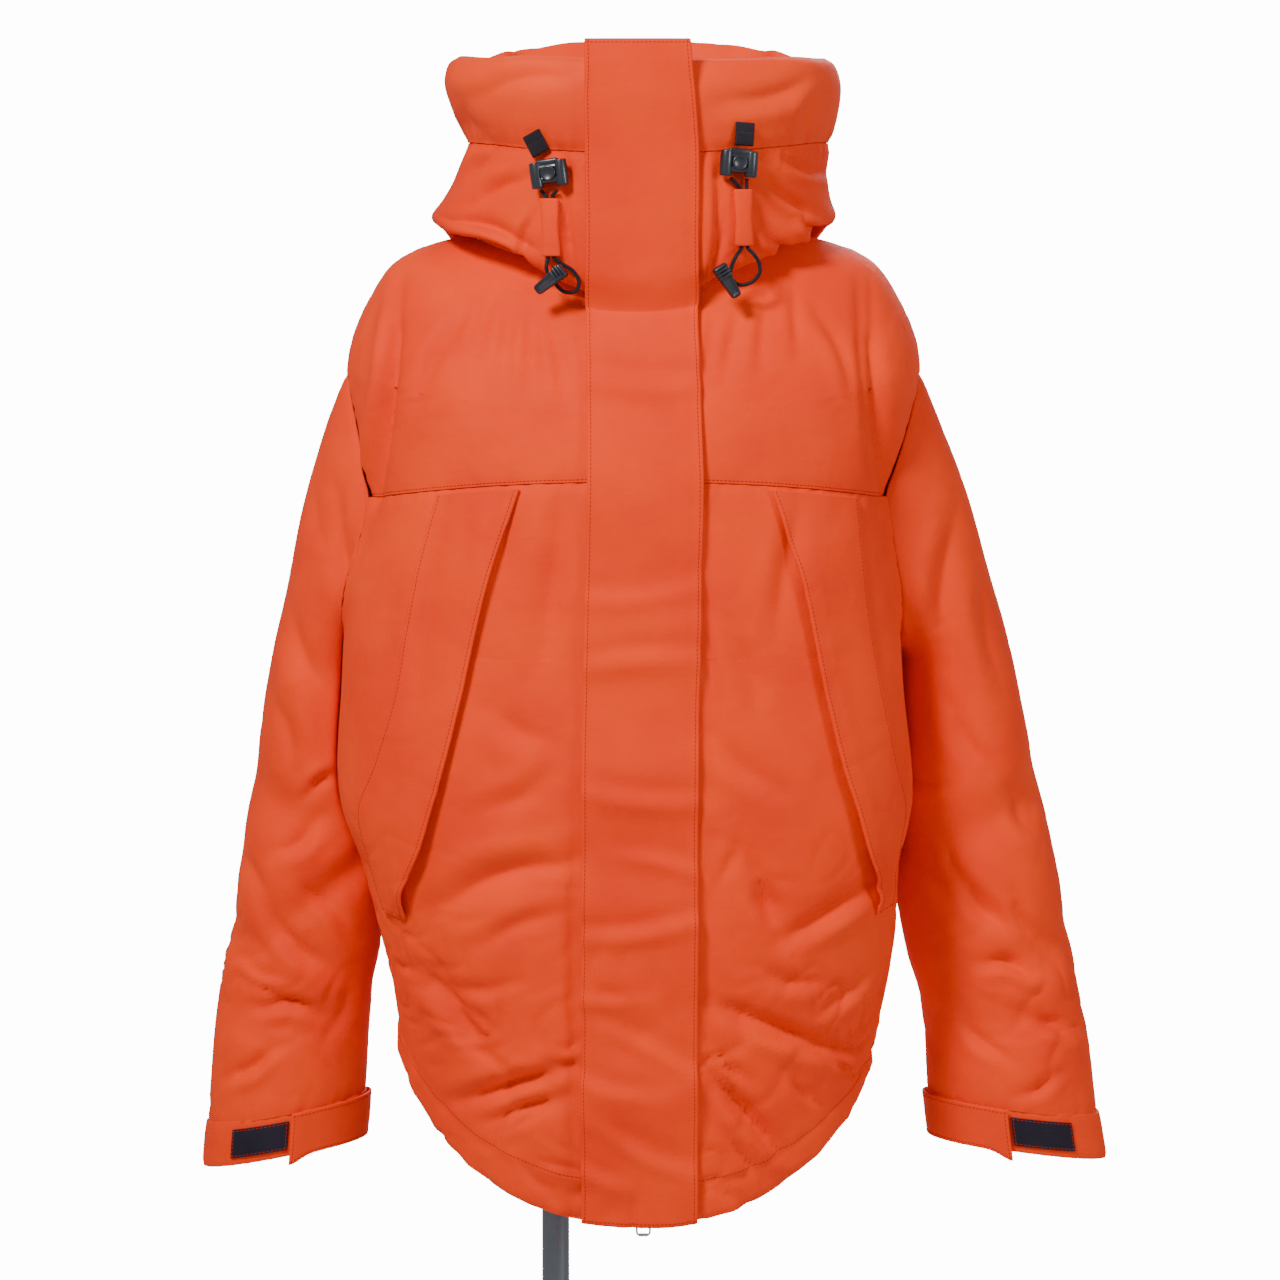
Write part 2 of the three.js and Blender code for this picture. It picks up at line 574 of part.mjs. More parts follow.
hoodPanel(
  "hood_crown",
  [...rollLevels.slice(0, -1), HOOD_LEVEL.seam, ...bandLevels.slice(1)],
  () => BACK_SEAM.crown,
  () => 2 * Math.PI - BACK_SEAM.crown,
  10,
  shellCloth,
);

// Facing of the collar, seen inside the rim: the rim's curve carried down inside the hood.
const FACING = [
  { zFront: 1498, zSide: 1504, zBack: 1520, left: 122, right: 126, front: -122, back: 92, broad: 0 },
  { zFront: 1528, zSide: 1532, zBack: 1552, left: 130, right: 134, front: -126, back: 100, broad: 0 },
  { zFront: 1550, zSide: 1555, zBack: 1576, left: 139, right: 141, front: -127, back: 112, broad: 0 },
  { zFront: 1559.2, zSide: 1564.2, zBack: 1585.2, left: 141.5, right: 143.5, front: -126.5, back: 117.5, broad: 0 },
];
const FACING_OPEN = 14 * DEG; // half the angle at the centre front that has no facing
const FACING_CLOTH = 3;
const facingPoint = (angle, r) => levelPoint(FACING, angle, r);
place(
  "hood_facing",
  panel({
    point: facingPoint,
    normal: (angle, r) => surfaceNormal(facingPoint, angle, r, FACING.length - 1),
    levels: spread(0, FACING.length - 1, 3),
    from: () => FACING_OPEN,
    to: () => 2 * Math.PI - FACING_OPEN,
    cols: 22,
    thick: FACING_CLOTH,
  }),
  collarCloth,
);

// Pieces on the centre front follow the fronts and the collar from hem to rim.
// Each row is a level of the body or of the hood, with the piece's two edges at that height.
const PLACKET = [
  { z: 660, left: -44.2, right: 43.5 },
  { z: 840, left: -44.1, right: 43.3 },
  { z: 1040, left: -43.9, right: 43.9 },
  { z: 1238, left: -39.2, right: 47.6 },
  { z: 1362, left: -40.6, right: 43.7 },
  { z: 1498, left: -40.5, right: 43.6 },
  { z: 1578, left: -42, right: 38 },
];
const frontLevels = [
  ...spread(0, 10.6, 18).map((r) => ({ rows: BODY, r })),
  ...[2, 3, 4, 5, 6, 7, 8, 9].map((r) => ({ rows: HOOD, r })),
];
function frontRow({ rows, r }, xs, out) {
  const point = rows === BODY ? bodyPoint : hoodPoint;
  const normal = rows === BODY ? bodyNormal : hoodNormal;
  return xs.map((x) => {
    const angle = x === 0 ? 0 : angleAtX(rows, x, r);
    return point(angle, r).addScaledVector(normal(angle, r), out);
  });
}
function frontStrip(label, edges, cols, low, thick, material, tops = []) {
  const grid = (out) => [
    ...frontLevels.map((level) => {
      const z = column(level.rows, "zFront", level.r);
      const [a, b] = edges(z);
      return frontRow(level, spread(a, b, cols), out);
    }),
    ...tops.map(({ z, y }) => {
      const [a, b] = edges(z);
      return spread(a, b, cols).map((x) => V(x, y - out, z));
    }),
  ];
  place(label, wall(grid(low + thick), grid(low)), material);
}
const PLACKET_GAP = 0.5;
const PLACKET_CLOTH = OVERLAY + 0.4;
// The placket's end stands free above the collar's rim.
const PLACKET_TOP = [
  { z: 1560, y: -144.5 },
  { z: 1576, y: -143 },
];
frontStrip(
  "storm_placket",
  (z) => [atHeight(PLACKET, "left", z), atHeight(PLACKET, "right", z)],
  4,
  PLACKET_GAP,
  PLACKET_CLOTH,
  overlayCloth,
  PLACKET_TOP,
);

// Pocket panels: slanted overlays on the fronts. Near is the free edge towards the centre,
// which stands proud, and far the edge that is stitched down at the side.
const POCKET_LEFT = [
  { level: 6.95, near: -93, far: -155 },
  { level: 6.2, near: -112, far: -171 },
  { level: 5.55, near: -126, far: -181 },
  { level: 4.95, near: -137, far: -189 },
  { level: 4.4, near: -148.5, far: -204 },
  { level: 3.95, near: -158.5, far: -218 },
  { level: 3.5, near: -167, far: -215 },
  { level: 3.0, near: -178, far: -208 },
  { level: 2.55, near: -183, far: -200 },
];
const POCKET_RIGHT = [
  { level: 6.95, near: 101, far: 166 },
  { level: 6.2, near: 120, far: 173 },
  { level: 5.55, near: 132, far: 180 },
  { level: 4.95, near: 142, far: 187 },
  { level: 4.4, near: 153, far: 197 },
  { level: 3.95, near: 164, far: 205 },
  { level: 3.5, near: 171, far: 203 },
  { level: 3.0, near: 179, far: 199 },
  { level: 2.55, near: 184, far: 196 },
];
const POCKET_LIFT = 5; // how far the free edge stands off the front
const POCKET_GAP = 0.7; // between the rest of a panel and the front
const POCKET_END = 1.2; // rows over which the free edge comes down to the front at each end
function pocketPanel(name, rows) {
  const last = rows.length - 1;
  const side = Math.sign(rows[0].near);
  const grid = (extra) =>
    spread(0, last, 16).map((i) => {
      const r = column(rows, "level", i);
      const near = angleAtX(BODY, column(rows, "near", i), r);
      const far = angleAtX(BODY, column(rows, "far", i), r);
      const share = Math.min(i / POCKET_END, 1) * Math.min((last - i) / POCKET_END, 1);
      const ends = Math.sin(share * 90 * DEG);
      return spread(near, far, 5).map((angle, k) => {
        const lift = POCKET_GAP + POCKET_LIFT * ends * Math.exp(-((k / 1.6) ** 2));
        return bodyPoint(angle, r).addScaledVector(bodyNormal(angle, r), lift + extra);
      });
    });
  place(`pocket_panel_${name}`, wall(grid(OVERLAY), grid(0), { flip: side > 0 }), overlayCloth);
}
pocketPanel("left", POCKET_LEFT);
pocketPanel("right", POCKET_RIGHT);

// Zip: tape and teeth fill the gap between the fronts, and the slider stands below their end.
const ZIP = { half: CENTRE - 0.5, sunk: -4.2, thick: 2.4, start: 0.213 };
const zipLevels = [
  { rows: BODY, r: ZIP.start },
  ...frontLevels.filter(({ rows, r }) => rows === HOOD || r > ZIP.start),
];
const zipGrid = (out) => zipLevels.map((level) => frontRow(level, [-ZIP.half, 0, ZIP.half], out));
place("zip_tape", wall(zipGrid(ZIP.sunk + ZIP.thick), zipGrid(ZIP.sunk)), shellCloth);

// Rounded outline of a given width and height round the origin.
function roundedShape(width, height, radius) {
  const [w, h, r] = [width / 2, height / 2, radius];
  const shape = new THREE.Shape();
  shape.moveTo(-w + r, -h);
  shape.lineTo(w - r, -h);
  shape.absarc(w - r, -h + r, r, -Math.PI / 2, 0);
  shape.lineTo(w, h - r);
  shape.absarc(w - r, h - r, r, 0, Math.PI / 2);
  shape.lineTo(-w + r, h);
  shape.absarc(-w + r, h - r, r, Math.PI / 2, Math.PI);
  shape.lineTo(-w, -h + r);
  shape.absarc(-w + r, -h + r, r, Math.PI, Math.PI * 1.5);
  return shape;
}
// A plate with the outline in the XZ plane and its thickness along Y, centred on the origin.
function plate(shape, thick, curveSegments = 3) {
  const geometry = new THREE.ExtrudeGeometry(shape, { depth: thick, bevelEnabled: false, curveSegments });
  return geometry.translate(0, 0, -thick / 2).rotateX(Math.PI / 2);
}

// A tube round a closed loop of points.
function ringTube(loop, radius, sides) {
  const count = loop.length;
  const middle = loop.reduce((sum, p) => sum.add(p), V(0, 0, 0)).multiplyScalar(1 / count);
  const points = [];
  const index = [];
  loop.forEach((p, i) => {
    const along = loop[(i + 1) % count].clone().sub(loop[(i + count - 1) % count]).normalize();
    const out = p.clone().sub(middle);
    out.addScaledVector(along, -out.dot(along)).normalize();
    const across = along.clone().cross(out);
    for (const k of range(sides)) {
      const a = (k / sides) * 2 * Math.PI;
      const q = p.clone().addScaledVector(out, radius * Math.cos(a));
      points.push(q.addScaledVector(across, radius * Math.sin(a)));
    }
  });
  const at = (i, k) => (i % count) * sides + (k % sides);
  for (let i = 0; i < count; i++)
    for (let k = 0; k < sides; k++)
      index.push(at(i, k), at(i, k + 1), at(i + 1, k + 1), at(i, k), at(i + 1, k + 1), at(i + 1, k));
  const geometry = new THREE.BufferGeometry();
  geometry.setAttribute(
    "position",
    new THREE.Float32BufferAttribute(points.flatMap((q) => [q.x, q.y, q.z]), 3),
  );
  geometry.setIndex(index);
  geometry.computeVertexNormals();
  return geometry;
}

// Slider with a bridge, and the pull ring whose top bar turns in it.
const PULL = { x: 2.6, y: -143.5, z: 664.5, width: 12, height: 13, rod: 0.9, top: 1.2, foot: 3.4 };
const BRIDGE = { hole: 1.35, outer: 2.5, wide: 3, sunk: 0.4 };
const SLIDER = { width: 11, height: 11, thick: 4.4 };
// The ring that holds the pull's bar, drawn in the YZ plane and extruded along X.
function bridgeGeometry() {
  const eye = new THREE.Shape();
  eye.absarc(0, 0, BRIDGE.outer, 0, 2 * Math.PI);
  const hole = new THREE.Path();
  hole.absarc(0, 0, BRIDGE.hole, 0, 2 * Math.PI, true);
  eye.holes.push(hole);
  return new THREE.ExtrudeGeometry(eye, { depth: BRIDGE.wide, bevelEnabled: false, curveSegments: 8 })
    .translate(0, 0, -BRIDGE.wide / 2)
    .rotateY(Math.PI / 2);
}
const wasm = await Module();
wasm.setup();
function solidOf(geometry) {
  const bare = geometry.clone();
  bare.deleteAttribute("normal");
  bare.deleteAttribute("uv");
  const merged = mergeVertices(bare, 1e-4);
  return new wasm.Manifold(
    new wasm.Mesh({
      numProp: 3,
      vertProperties: merged.attributes.position.array,
      triVerts: new Uint32Array(merged.index.array),
    }),
  );
}
function geometryOf(solid) {
  const mesh = solid.getMesh();
  const geometry = new THREE.BufferGeometry();
  geometry.setAttribute("position", new THREE.BufferAttribute(new Float32Array(mesh.vertProperties), 3));
  geometry.setIndex(new THREE.BufferAttribute(new Uint32Array(mesh.triVerts), 1));
  geometry.computeVertexNormals();
  return geometry;
}
const bodyOfSlider = new THREE.BoxGeometry(SLIDER.width, SLIDER.thick, SLIDER.height).translate(
  0,
  0,
  BRIDGE.outer - BRIDGE.sunk + SLIDER.height / 2,
);
const slider = place(
  "zip_slider",
  geometryOf(solidOf(bridgeGeometry()).add(solidOf(bodyOfSlider))),
  silver,
);
slider.position.set(PULL.x, PULL.y, PULL.z);
function pullLoop() {
  const shape = new THREE.Shape();
  const [w, h] = [PULL.width / 2 - PULL.rod, PULL.height];
  const { top, foot } = PULL;
  shape.moveTo(-w + top, 0);
  shape.lineTo(w - top, 0);
  shape.quadraticCurveTo(w, 0, w, -top);
  shape.lineTo(w, -h + foot);
  shape.quadraticCurveTo(w, -h, w - foot, -h);
  shape.lineTo(-w + foot, -h);
  shape.quadraticCurveTo(-w, -h, -w, -h + foot);
  shape.lineTo(-w, -top);
  shape.quadraticCurveTo(-w, 0, -w + top, 0);
  return shape
    .getPoints(3)
    .slice(0, -1)
    .map((p) => V(p.x, 0, p.y));
}
const pull = place("zip_pull", ringTube(pullLoop(), PULL.rod, 8), silver);
pull.position.set(PULL.x, PULL.y, PULL.z);

// Drawcord of the hood, one on each side: a lock on the seam, a cloth tube below it,
// and a toggle that the cord's loop hangs in.
// A point in front of the hood at a place in the front view, and how far it stands off.
function beforeHood(x, z, off) {
  let [low, high] = [HOOD_LEVEL.roll, HOOD_LEVEL.rim - 2];
  for (let i = 0; i < 30; i++) {
    const r = (low + high) / 2;
    if (hoodPoint(angleAtX(HOOD, x, r), r).z < z) low = r;
    else high = r;
  }
  const angle = angleAtX(HOOD, x, low);
  const p = hoodPoint(angle, low);
  return V(x, p.y - off, z);
}
// off is the gap between a piece and the hood's surface.
const LOCK = { width: 30, height: 22, thick: 11, round: 6, off: 4 };
const TAB = { width: 15, height: 18, thick: 2, round: 1.5, off: 4.1 };
const TUBE = { width: 15, thick: 6.4, wall: 1.2, square: 0.7, cols: 12, rings: 4 };
const TOGGLE = { width: 12, height: 28, thick: 9, round: 4 };
const CORD_OFF = 3.9; // from the hood's surface to the middle of a cord
const STRAND = 2.6; // from the middle of a tube to each strand of its cord
const LIP = 1420; // height at which the toggles and loops hang before the rolled collar
const LOOP_OFF = 4.6; // from the collar at that height to the middle of a loop
const STRAND_STEPS = [-0.04, 0.06, 0.25, 0.5, 0.75, 0.95, 1.04]; // shares of the tube's length
const DRAW = {
  left: {
    side: -1,
    drop: 2.1,
    lock: { x: -70, z: 1474.5, turn: 8 },
    tab: { x: -80, z: 1497.5, turn: 28 },
    tube: { topX: -70, topZ: 1455, lowX: -68.5, lowZ: 1411 },
    toggle: { x: -69, z: 1392.5, turn: -52, off: 6.8 },
    // The free loop below the tube, from its left strand to its right one.
    loop: [
      [-72, 1401],
      [-66, 1391],
      [-58, 1383.5],
      [-49.5, 1384],
      [-47, 1391],
      [-51, 1399],
      [-60, 1405],
    ],
  },
  right: {
    side: 1,
    drop: 1,
    lock: { x: 76, z: 1482.5, turn: -4 },
    tab: { x: 80.5, z: 1504.5, turn: -4 },
    tube: { topX: 79.5, topZ: 1462, lowX: 80.5, lowZ: 1419 },
    toggle: { x: 67.5, z: 1391.5, turn: 32, off: 7.9 },
    loop: [
      [74, 1411],
      [70.5, 1403],
      [70, 1395],
      [76, 1389],
      [86, 1391],
      [92, 1398],
      [91.5, 1406],
      [87, 1413],
    ],
  },
};
const YAW = 13 * DEG; // the front of the hood turns away from the centre
function drawcord(name, d) {
  const yaw = d.side * YAW;
  const set = (mesh, x, z, off, turn) => {
    mesh.position.copy(beforeHood(x, z, off));
    mesh.rotation.set(0, -turn * DEG, yaw, "ZYX");
    return mesh;
  };
  const rounded = ({ width, height, round: radius, thick }, segments) =>
    plate(roundedShape(width, height, radius), thick, segments);
  const lock = place(`cord_lock_${name}`, rounded(LOCK, 4), blackPlastic);
  set(lock, d.lock.x, d.lock.z, LOCK.thick / 2 + LOCK.off, d.lock.turn);
  const tab = place(`lock_tab_${name}`, rounded(TAB, 2), blackWeb);
  set(tab, d.tab.x, d.tab.z, TAB.thick / 2 + TAB.off, d.tab.turn);
  const toggle = place(`cord_toggle_${name}`, rounded(TOGGLE, 3), blackPlastic);
  set(toggle, d.toggle.x, d.toggle.z, 0, d.toggle.turn);
  const front = beforeHood(d.toggle.x, LIP, 0).y;
  toggle.position.y = front - TOGGLE.thick / 2 - d.toggle.off;
  // Flat hollow tube of shell cloth, with the two strands of the cord inside.
  const tubeRing = (t, wide, thick) => {
    const x = mix(d.tube.topX, d.tube.lowX, t);
    const z = mix(d.tube.topZ, d.tube.lowZ, t);
    const p = beforeHood(x, z, CORD_OFF);
    const squared = (v) => Math.sign(v) * Math.abs(v) ** TUBE.square;
    return range(TUBE.cols).map((k) => {
      const a = (k / TUBE.cols) * 2 * Math.PI;
      const across = (wide / 2) * squared(Math.cos(a));
      const deep = (thick / 2) * squared(Math.sin(a));
      return V(p.x + across * Math.cos(yaw), p.y + across * Math.sin(yaw) + deep, p.z);
    });
  };
  const tube = (inset) =>
    spread(0, 1, TUBE.rings).map((t) =>
      tubeRing(t, TUBE.width - 2 * inset, TUBE.thick - 2 * inset),
    );
  place(`cord_tube_${name}`, wall(tube(0), tube(TUBE.wall), { wrap: true, flip: true }), shellCloth);
  // The cord runs from the lock down one side of the tube, round the loop and up the other side.
  const strand = (offset, steps) =>
    steps.map((t) => {
      const x = mix(d.tube.topX, d.tube.lowX, t);
      const z = mix(d.tube.topZ, d.tube.lowZ, t);
      const across = V(Math.cos(yaw), Math.sin(yaw), 0);
      return beforeHood(x, z, CORD_OFF).addScaledVector(across, offset);
    });
  const lockLow = d.lock.z - LOCK.height / 2 - d.drop;
  const top = (offset) => beforeHood(d.lock.x + 2.4 * offset, lockLow, CORD_OFF + 1.5);
  const loop = d.loop.map(([x, z]) => V(x, front - LOOP_OFF, z));
  const route = [
    top(-STRAND),
    ...strand(-STRAND, STRAND_STEPS),
    ...loop,
    ...strand(STRAND, [...STRAND_STEPS].reverse()),
    top(STRAND),
  ];
  const extrudePath = new THREE.CatmullRomCurve3(route, false, "centripetal");
  const section = new THREE.Shape();
  section.absarc(0, 0, CORD / 2, 0, 2 * Math.PI);
  const cord = { extrudePath, steps: 34, curveSegments: 4, bevelEnabled: false };
  place(`drawcord_${name}`, new THREE.ExtrudeGeometry(section, cord), blackWeb);
}
drawcord("left", DRAW.left);
drawcord("right", DRAW.right);

// Dress form: whole and smooth, it carries the jacket on its shoulders and keeps clear below.
const FORM = { seat: 1.2, cols: 28, neck: 1492, neckY: -4, foot: 830 };
const FORM_SHAPE = [
  { z: 830, left: 150, right: 148, front: -118, back: 108, broad: -12 },
  { z: 900, left: 168, right: 166, front: -124, back: 118, broad: -12 },
  { z: 1000, left: 166, right: 164, front: -126, back: 116, broad: -14 },
  { z: 1100, left: 172, right: 166, front: -138, back: 118, broad: -14 },
  { z: 1200, left: 182, right: 172, front: -142, back: 122, broad: -10 },
];
const formAngles = range(FORM.cols).map((k) => (k / FORM.cols) * 2 * Math.PI);
const formRing = (row) => {
  const level = { ...row, zFront: row.z, zSide: row.z, zBack: row.z };
  return formAngles.map((angle) => levelPoint([level, level], angle, 0));
};
// Ring under the cloth at a level of the body, set in from it by the clearance.
const shoulderRing = (r, clear, inward = 0) =>
  formAngles.map((angle) => {
    const room = clear * (1 - 0.5 * Math.abs(Math.sin(angle)));
    const p = plainBody(angle, r);
    p.addScaledVector(bodyNormal(angle, r), -(CLOTH + FORM.seat + room));
    return p.add(V(-Math.sin(angle), Math.cos(angle), 0).multiplyScalar(inward));
  });
const neckRing = (z, half) =>
  formAngles.map((angle) => V(half * Math.sin(angle), FORM.neckY - half * Math.cos(angle), z));
place(
  "dress_form",
  stack([
    ...FORM_SHAPE.map(formRing),
    shoulderRing(8.6, 22),
    shoulderRing(9.2, 14),
    shoulderRing(9.8, 5),
    shoulderRing(10.3, 0),
    shoulderRing(10.7, 0.4),
    shoulderRing(11, 0, 9),
    neckRing(1450, 66),
    neckRing(1474, 59),
    neckRing(FORM.neck, 56),
  ]),
  formCover,
);

// Stand: pole, its socket under the form, and a round base.
function upright(name, radius, low, high, x, y, segments) {
  const geometry = new THREE.CylinderGeometry(radius, radius, high - low, segments);
  place(name, geometry.rotateX(Math.PI / 2), steel).position.set(x, y, (low + high) / 2);
}
const SOCKET = { radius: 24, height: 26 };
const REST = 0.3; // gap between two pieces that stand on each other
const socketHigh = FORM.foot - REST;
const socketLow = socketHigh - SOCKET.height;
upright("form_socket", SOCKET.radius, socketLow, socketHigh, POLE.x, POLE.y, 32);
upright("pole", POLE.radius, BASE.thick + REST, socketLow - REST, POLE.x, POLE.y, 28);
upright("base_plate", BASE.radius, 0, BASE.thick, 0, 0, 64);

export default group;
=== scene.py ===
# %% [markdown]
# This lesson dresses a hooded, padded jacket that stands on a dress form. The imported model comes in
# first as a fixed frame, and every piece made here lies where the frame's own solid lies.
# The jacket is sewn of smooth padded cloth, so its look comes from three things: the soft troughs and
# ridges of worn cloth, the small valleys along its seams, and a matt, finely woven surface.

# %% Load the fixed frame
import math

import bpy
import numpy as np
from mathutils import Matrix, Vector
from mathutils.kdtree import KDTree


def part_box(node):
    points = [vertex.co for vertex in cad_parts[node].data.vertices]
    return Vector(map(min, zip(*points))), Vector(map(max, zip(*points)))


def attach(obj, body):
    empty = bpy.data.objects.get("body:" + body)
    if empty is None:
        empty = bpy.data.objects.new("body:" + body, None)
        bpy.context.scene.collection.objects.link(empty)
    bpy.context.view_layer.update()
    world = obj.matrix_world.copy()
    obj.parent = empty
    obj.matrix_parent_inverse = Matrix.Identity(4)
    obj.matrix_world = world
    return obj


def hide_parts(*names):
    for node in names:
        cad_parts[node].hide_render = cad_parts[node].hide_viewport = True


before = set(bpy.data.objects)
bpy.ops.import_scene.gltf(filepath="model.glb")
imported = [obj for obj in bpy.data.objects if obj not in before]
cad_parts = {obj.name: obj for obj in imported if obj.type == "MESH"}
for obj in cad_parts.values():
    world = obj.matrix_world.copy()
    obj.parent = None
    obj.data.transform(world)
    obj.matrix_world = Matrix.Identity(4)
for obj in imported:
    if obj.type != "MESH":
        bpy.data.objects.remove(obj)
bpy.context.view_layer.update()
JACKET = "jacket_and_stand"
MM = 0.001

# %% [markdown]
# The camera comes first, since the cords are measured against its view. The picture was taken from
# about four metres away and a few degrees above, with a long lens, so the sides hardly converge.

# %% Camera
TARGET = Vector((0.0, 0.0, 1.1056))
DISTANCE = 4.0
ELEVATION = math.radians(4.0)
VIEW_WIDTH = 1.024  # what the square picture spans at the target
SENSOR_MM = 36.0

lens = bpy.data.cameras.new("studio_camera")
lens.sensor_width = SENSOR_MM
lens.lens = SENSOR_MM * DISTANCE / VIEW_WIDTH
camera = bpy.data.objects.new("studio_camera", lens)
camera.location = TARGET + DISTANCE * Vector((0, -math.cos(ELEVATION), math.sin(ELEVATION)))
camera.rotation_euler = (math.pi / 2 - ELEVATION, 0, 0)
bpy.context.scene.collection.objects.link(camera)
bpy.context.scene.camera = camera
print("camera:", round(lens.lens, 1), "mm lens")

# %% [markdown]
# The jacket's surface is worked out from tables: one row for each level, with its height at the
# front, side and back, its half widths and its depths. A smooth curve runs through the rows. These
# are the same tables that the frame was cut from, so a fine shell lands exactly on its solid.

# %% Tables of the body and the hood
SQUARE = 2.35  # exponent of a level's outline, 2 is an ellipse
SEAM = 0.4 * MM
CLOTH = 4 * MM
HOOD_CLOTH = 3.2 * MM
OVERLAY = 2.6 * MM


def table(columns, rows):
    """Rows in millimetres as named columns in metres."""
    return {name: np.array(values, float) * MM for name, values in zip(columns.split(), zip(*rows))}


LEVEL_COLUMNS = "z_front z_side z_back left right front back broad"
BODY = table(LEVEL_COLUMNS, [
    (660, 781, 640, 193, 188, -146, 138, -30),
    (742, 824, 728, 196, 195, -158, 146, -32),
    (830, 876, 824, 207, 203, -166, 151, -36),
    (910, 930, 908, 220, 206, -170, 154, -40),
    (985, 988, 985, 238, 216, -171, 156, -42),
    (1072, 1072, 1078, 237, 210, -170, 157, -42),
    (1158, 1150, 1170, 231, 204, -168, 156, -38),
    (1238, 1222, 1256, 217, 199, -164, 152, -26),
    (1292, 1322, 1330, 233, 224, -155, 142, 6),
    (1332, 1386, 1390, 213, 204, -142, 124, 14),
    (1358, 1418, 1428, 178, 170, -130, 104, 16),
    (1374, 1438, 1446, 92, 88, -121, 78, 8),
])
BODY["bend"] = 0.48  # how much fuller than a plain arc the hem's curve is
HEM_REACH = 2.5  # the level at which that fullness has faded out
YOKE_LEVEL = 7
NECK_LEVEL = 11
HOOD = table(LEVEL_COLUMNS, [
    (1375, 1440, 1448, 94, 90, -123, 80, 8),
    (1381, 1440, 1445, 122, 116, -128, 114, 8),
    (1389, 1438, 1404, 146, 138, -132, 148, 8),
    (1399, 1436, 1354, 160, 150, -135, 168, 8),
    (1413, 1444, 1350, 166, 156, -137, 200, 8),
    (1434, 1458, 1382, 157, 152, -139, 222, 10),
    (1460, 1477, 1440, 147, 149, -139, 226, 12),
    (1490, 1501, 1504, 139, 150, -138, 214, 10),
    (1515, 1523, 1546, 148, 155, -141, 192, 4),
    (1540, 1545, 1572, 155, 158, -143, 164, 0),
    (1557, 1561, 1584, 152, 154, -138, 134, 0),
    (1562, 1567, 1588, 144, 146, -129, 120, 0),
])
HOOD["bend"] = 0.0
HOOD_SEAM_LEVEL = 7
RIM_LEVEL = 11
FACING = table(LEVEL_COLUMNS, [
    (1498, 1504, 1520, 122, 126, -122, 92, 0),
    (1528, 1532, 1552, 130, 134, -126, 100, 0),
    (1550, 1555, 1576, 139, 141, -127, 112, 0),
    (1559.2, 1564.2, 1585.2, 141.5, 143.5, -126.5, 117.5, 0),
])
FACING["bend"] = 0.0
print("levels:", len(BODY["left"]), "of the body,", len(HOOD["left"]), "of the hood")


# %% Points and directions on a table's surface
def column(rows, name, r):
    """Smooth value of a column at row numbers that may fall between rows."""
    values = rows[name]
    last = len(values) - 1
    padded = np.concatenate(([2 * values[0] - values[1]], values, [2 * values[-1] - values[-2]]))
    r = np.asarray(r, float)
    i = np.clip(np.floor(r).astype(int), 0, last - 1)
    t = r - i
    a, b, c, d = (padded[i + k] for k in range(4))
    return b + 0.5 * t * (c - a + t * (2 * a - 5 * b + 4 * c - d + t * (3 * (b - c) + d - a)))


def unit(v):
    return v / np.maximum(np.linalg.norm(v, axis=-1, keepdims=True), 1e-12)


def level_point(rows, angle, r):
    """Angle 0 is the centre front and a quarter turn the +X side."""
    s, c = np.sin(angle), np.cos(angle)
    half = np.where(s < 0, column(rows, "left", r), column(rows, "right", r))
    broad = column(rows, "broad", r)
    depth = np.where(c > 0, column(rows, "front", r), column(rows, "back", r)) - broad
    z_end = np.where(c > 0, column(rows, "z_front", r), column(rows, "z_back", r))
    z_side = column(rows, "z_side", r)
    power = 2 / SQUARE
    x = half * np.sign(s) * np.abs(s) ** power
    y = broad + depth * np.abs(c) ** power
    bend = 2.0 - rows["bend"] * np.clip(1 - np.asarray(r, float) / HEM_REACH, 0, 1)
    return np.stack(np.broadcast_arrays(x, y, z_side + (z_end - z_side) * np.abs(c) ** bend), -1)


def level_normal(rows, angle, r):
    last = len(rows["left"]) - 1
    step = 0.02
    around = level_point(rows, angle + step, r) - level_point(rows, angle - step, r)
    higher = level_point(rows, angle, np.minimum(r + step, last))
    lower = level_point(rows, angle, np.maximum(r - step, 0))
    return unit(np.cross(around, higher - lower))


def angle_at_x(rows, x, r):
    """The angle at which a level reaches a distance from the centre plane, at its front."""
    half = np.where(np.asarray(x) < 0, column(rows, "left", r), column(rows, "right", r))
    return np.sign(x) * np.arcsin(np.minimum(np.abs(x) / half, 1) ** (SQUARE / 2))


print("centre front at the yoke:", np.round(level_point(BODY, 0.0, YOKE_LEVEL), 4))
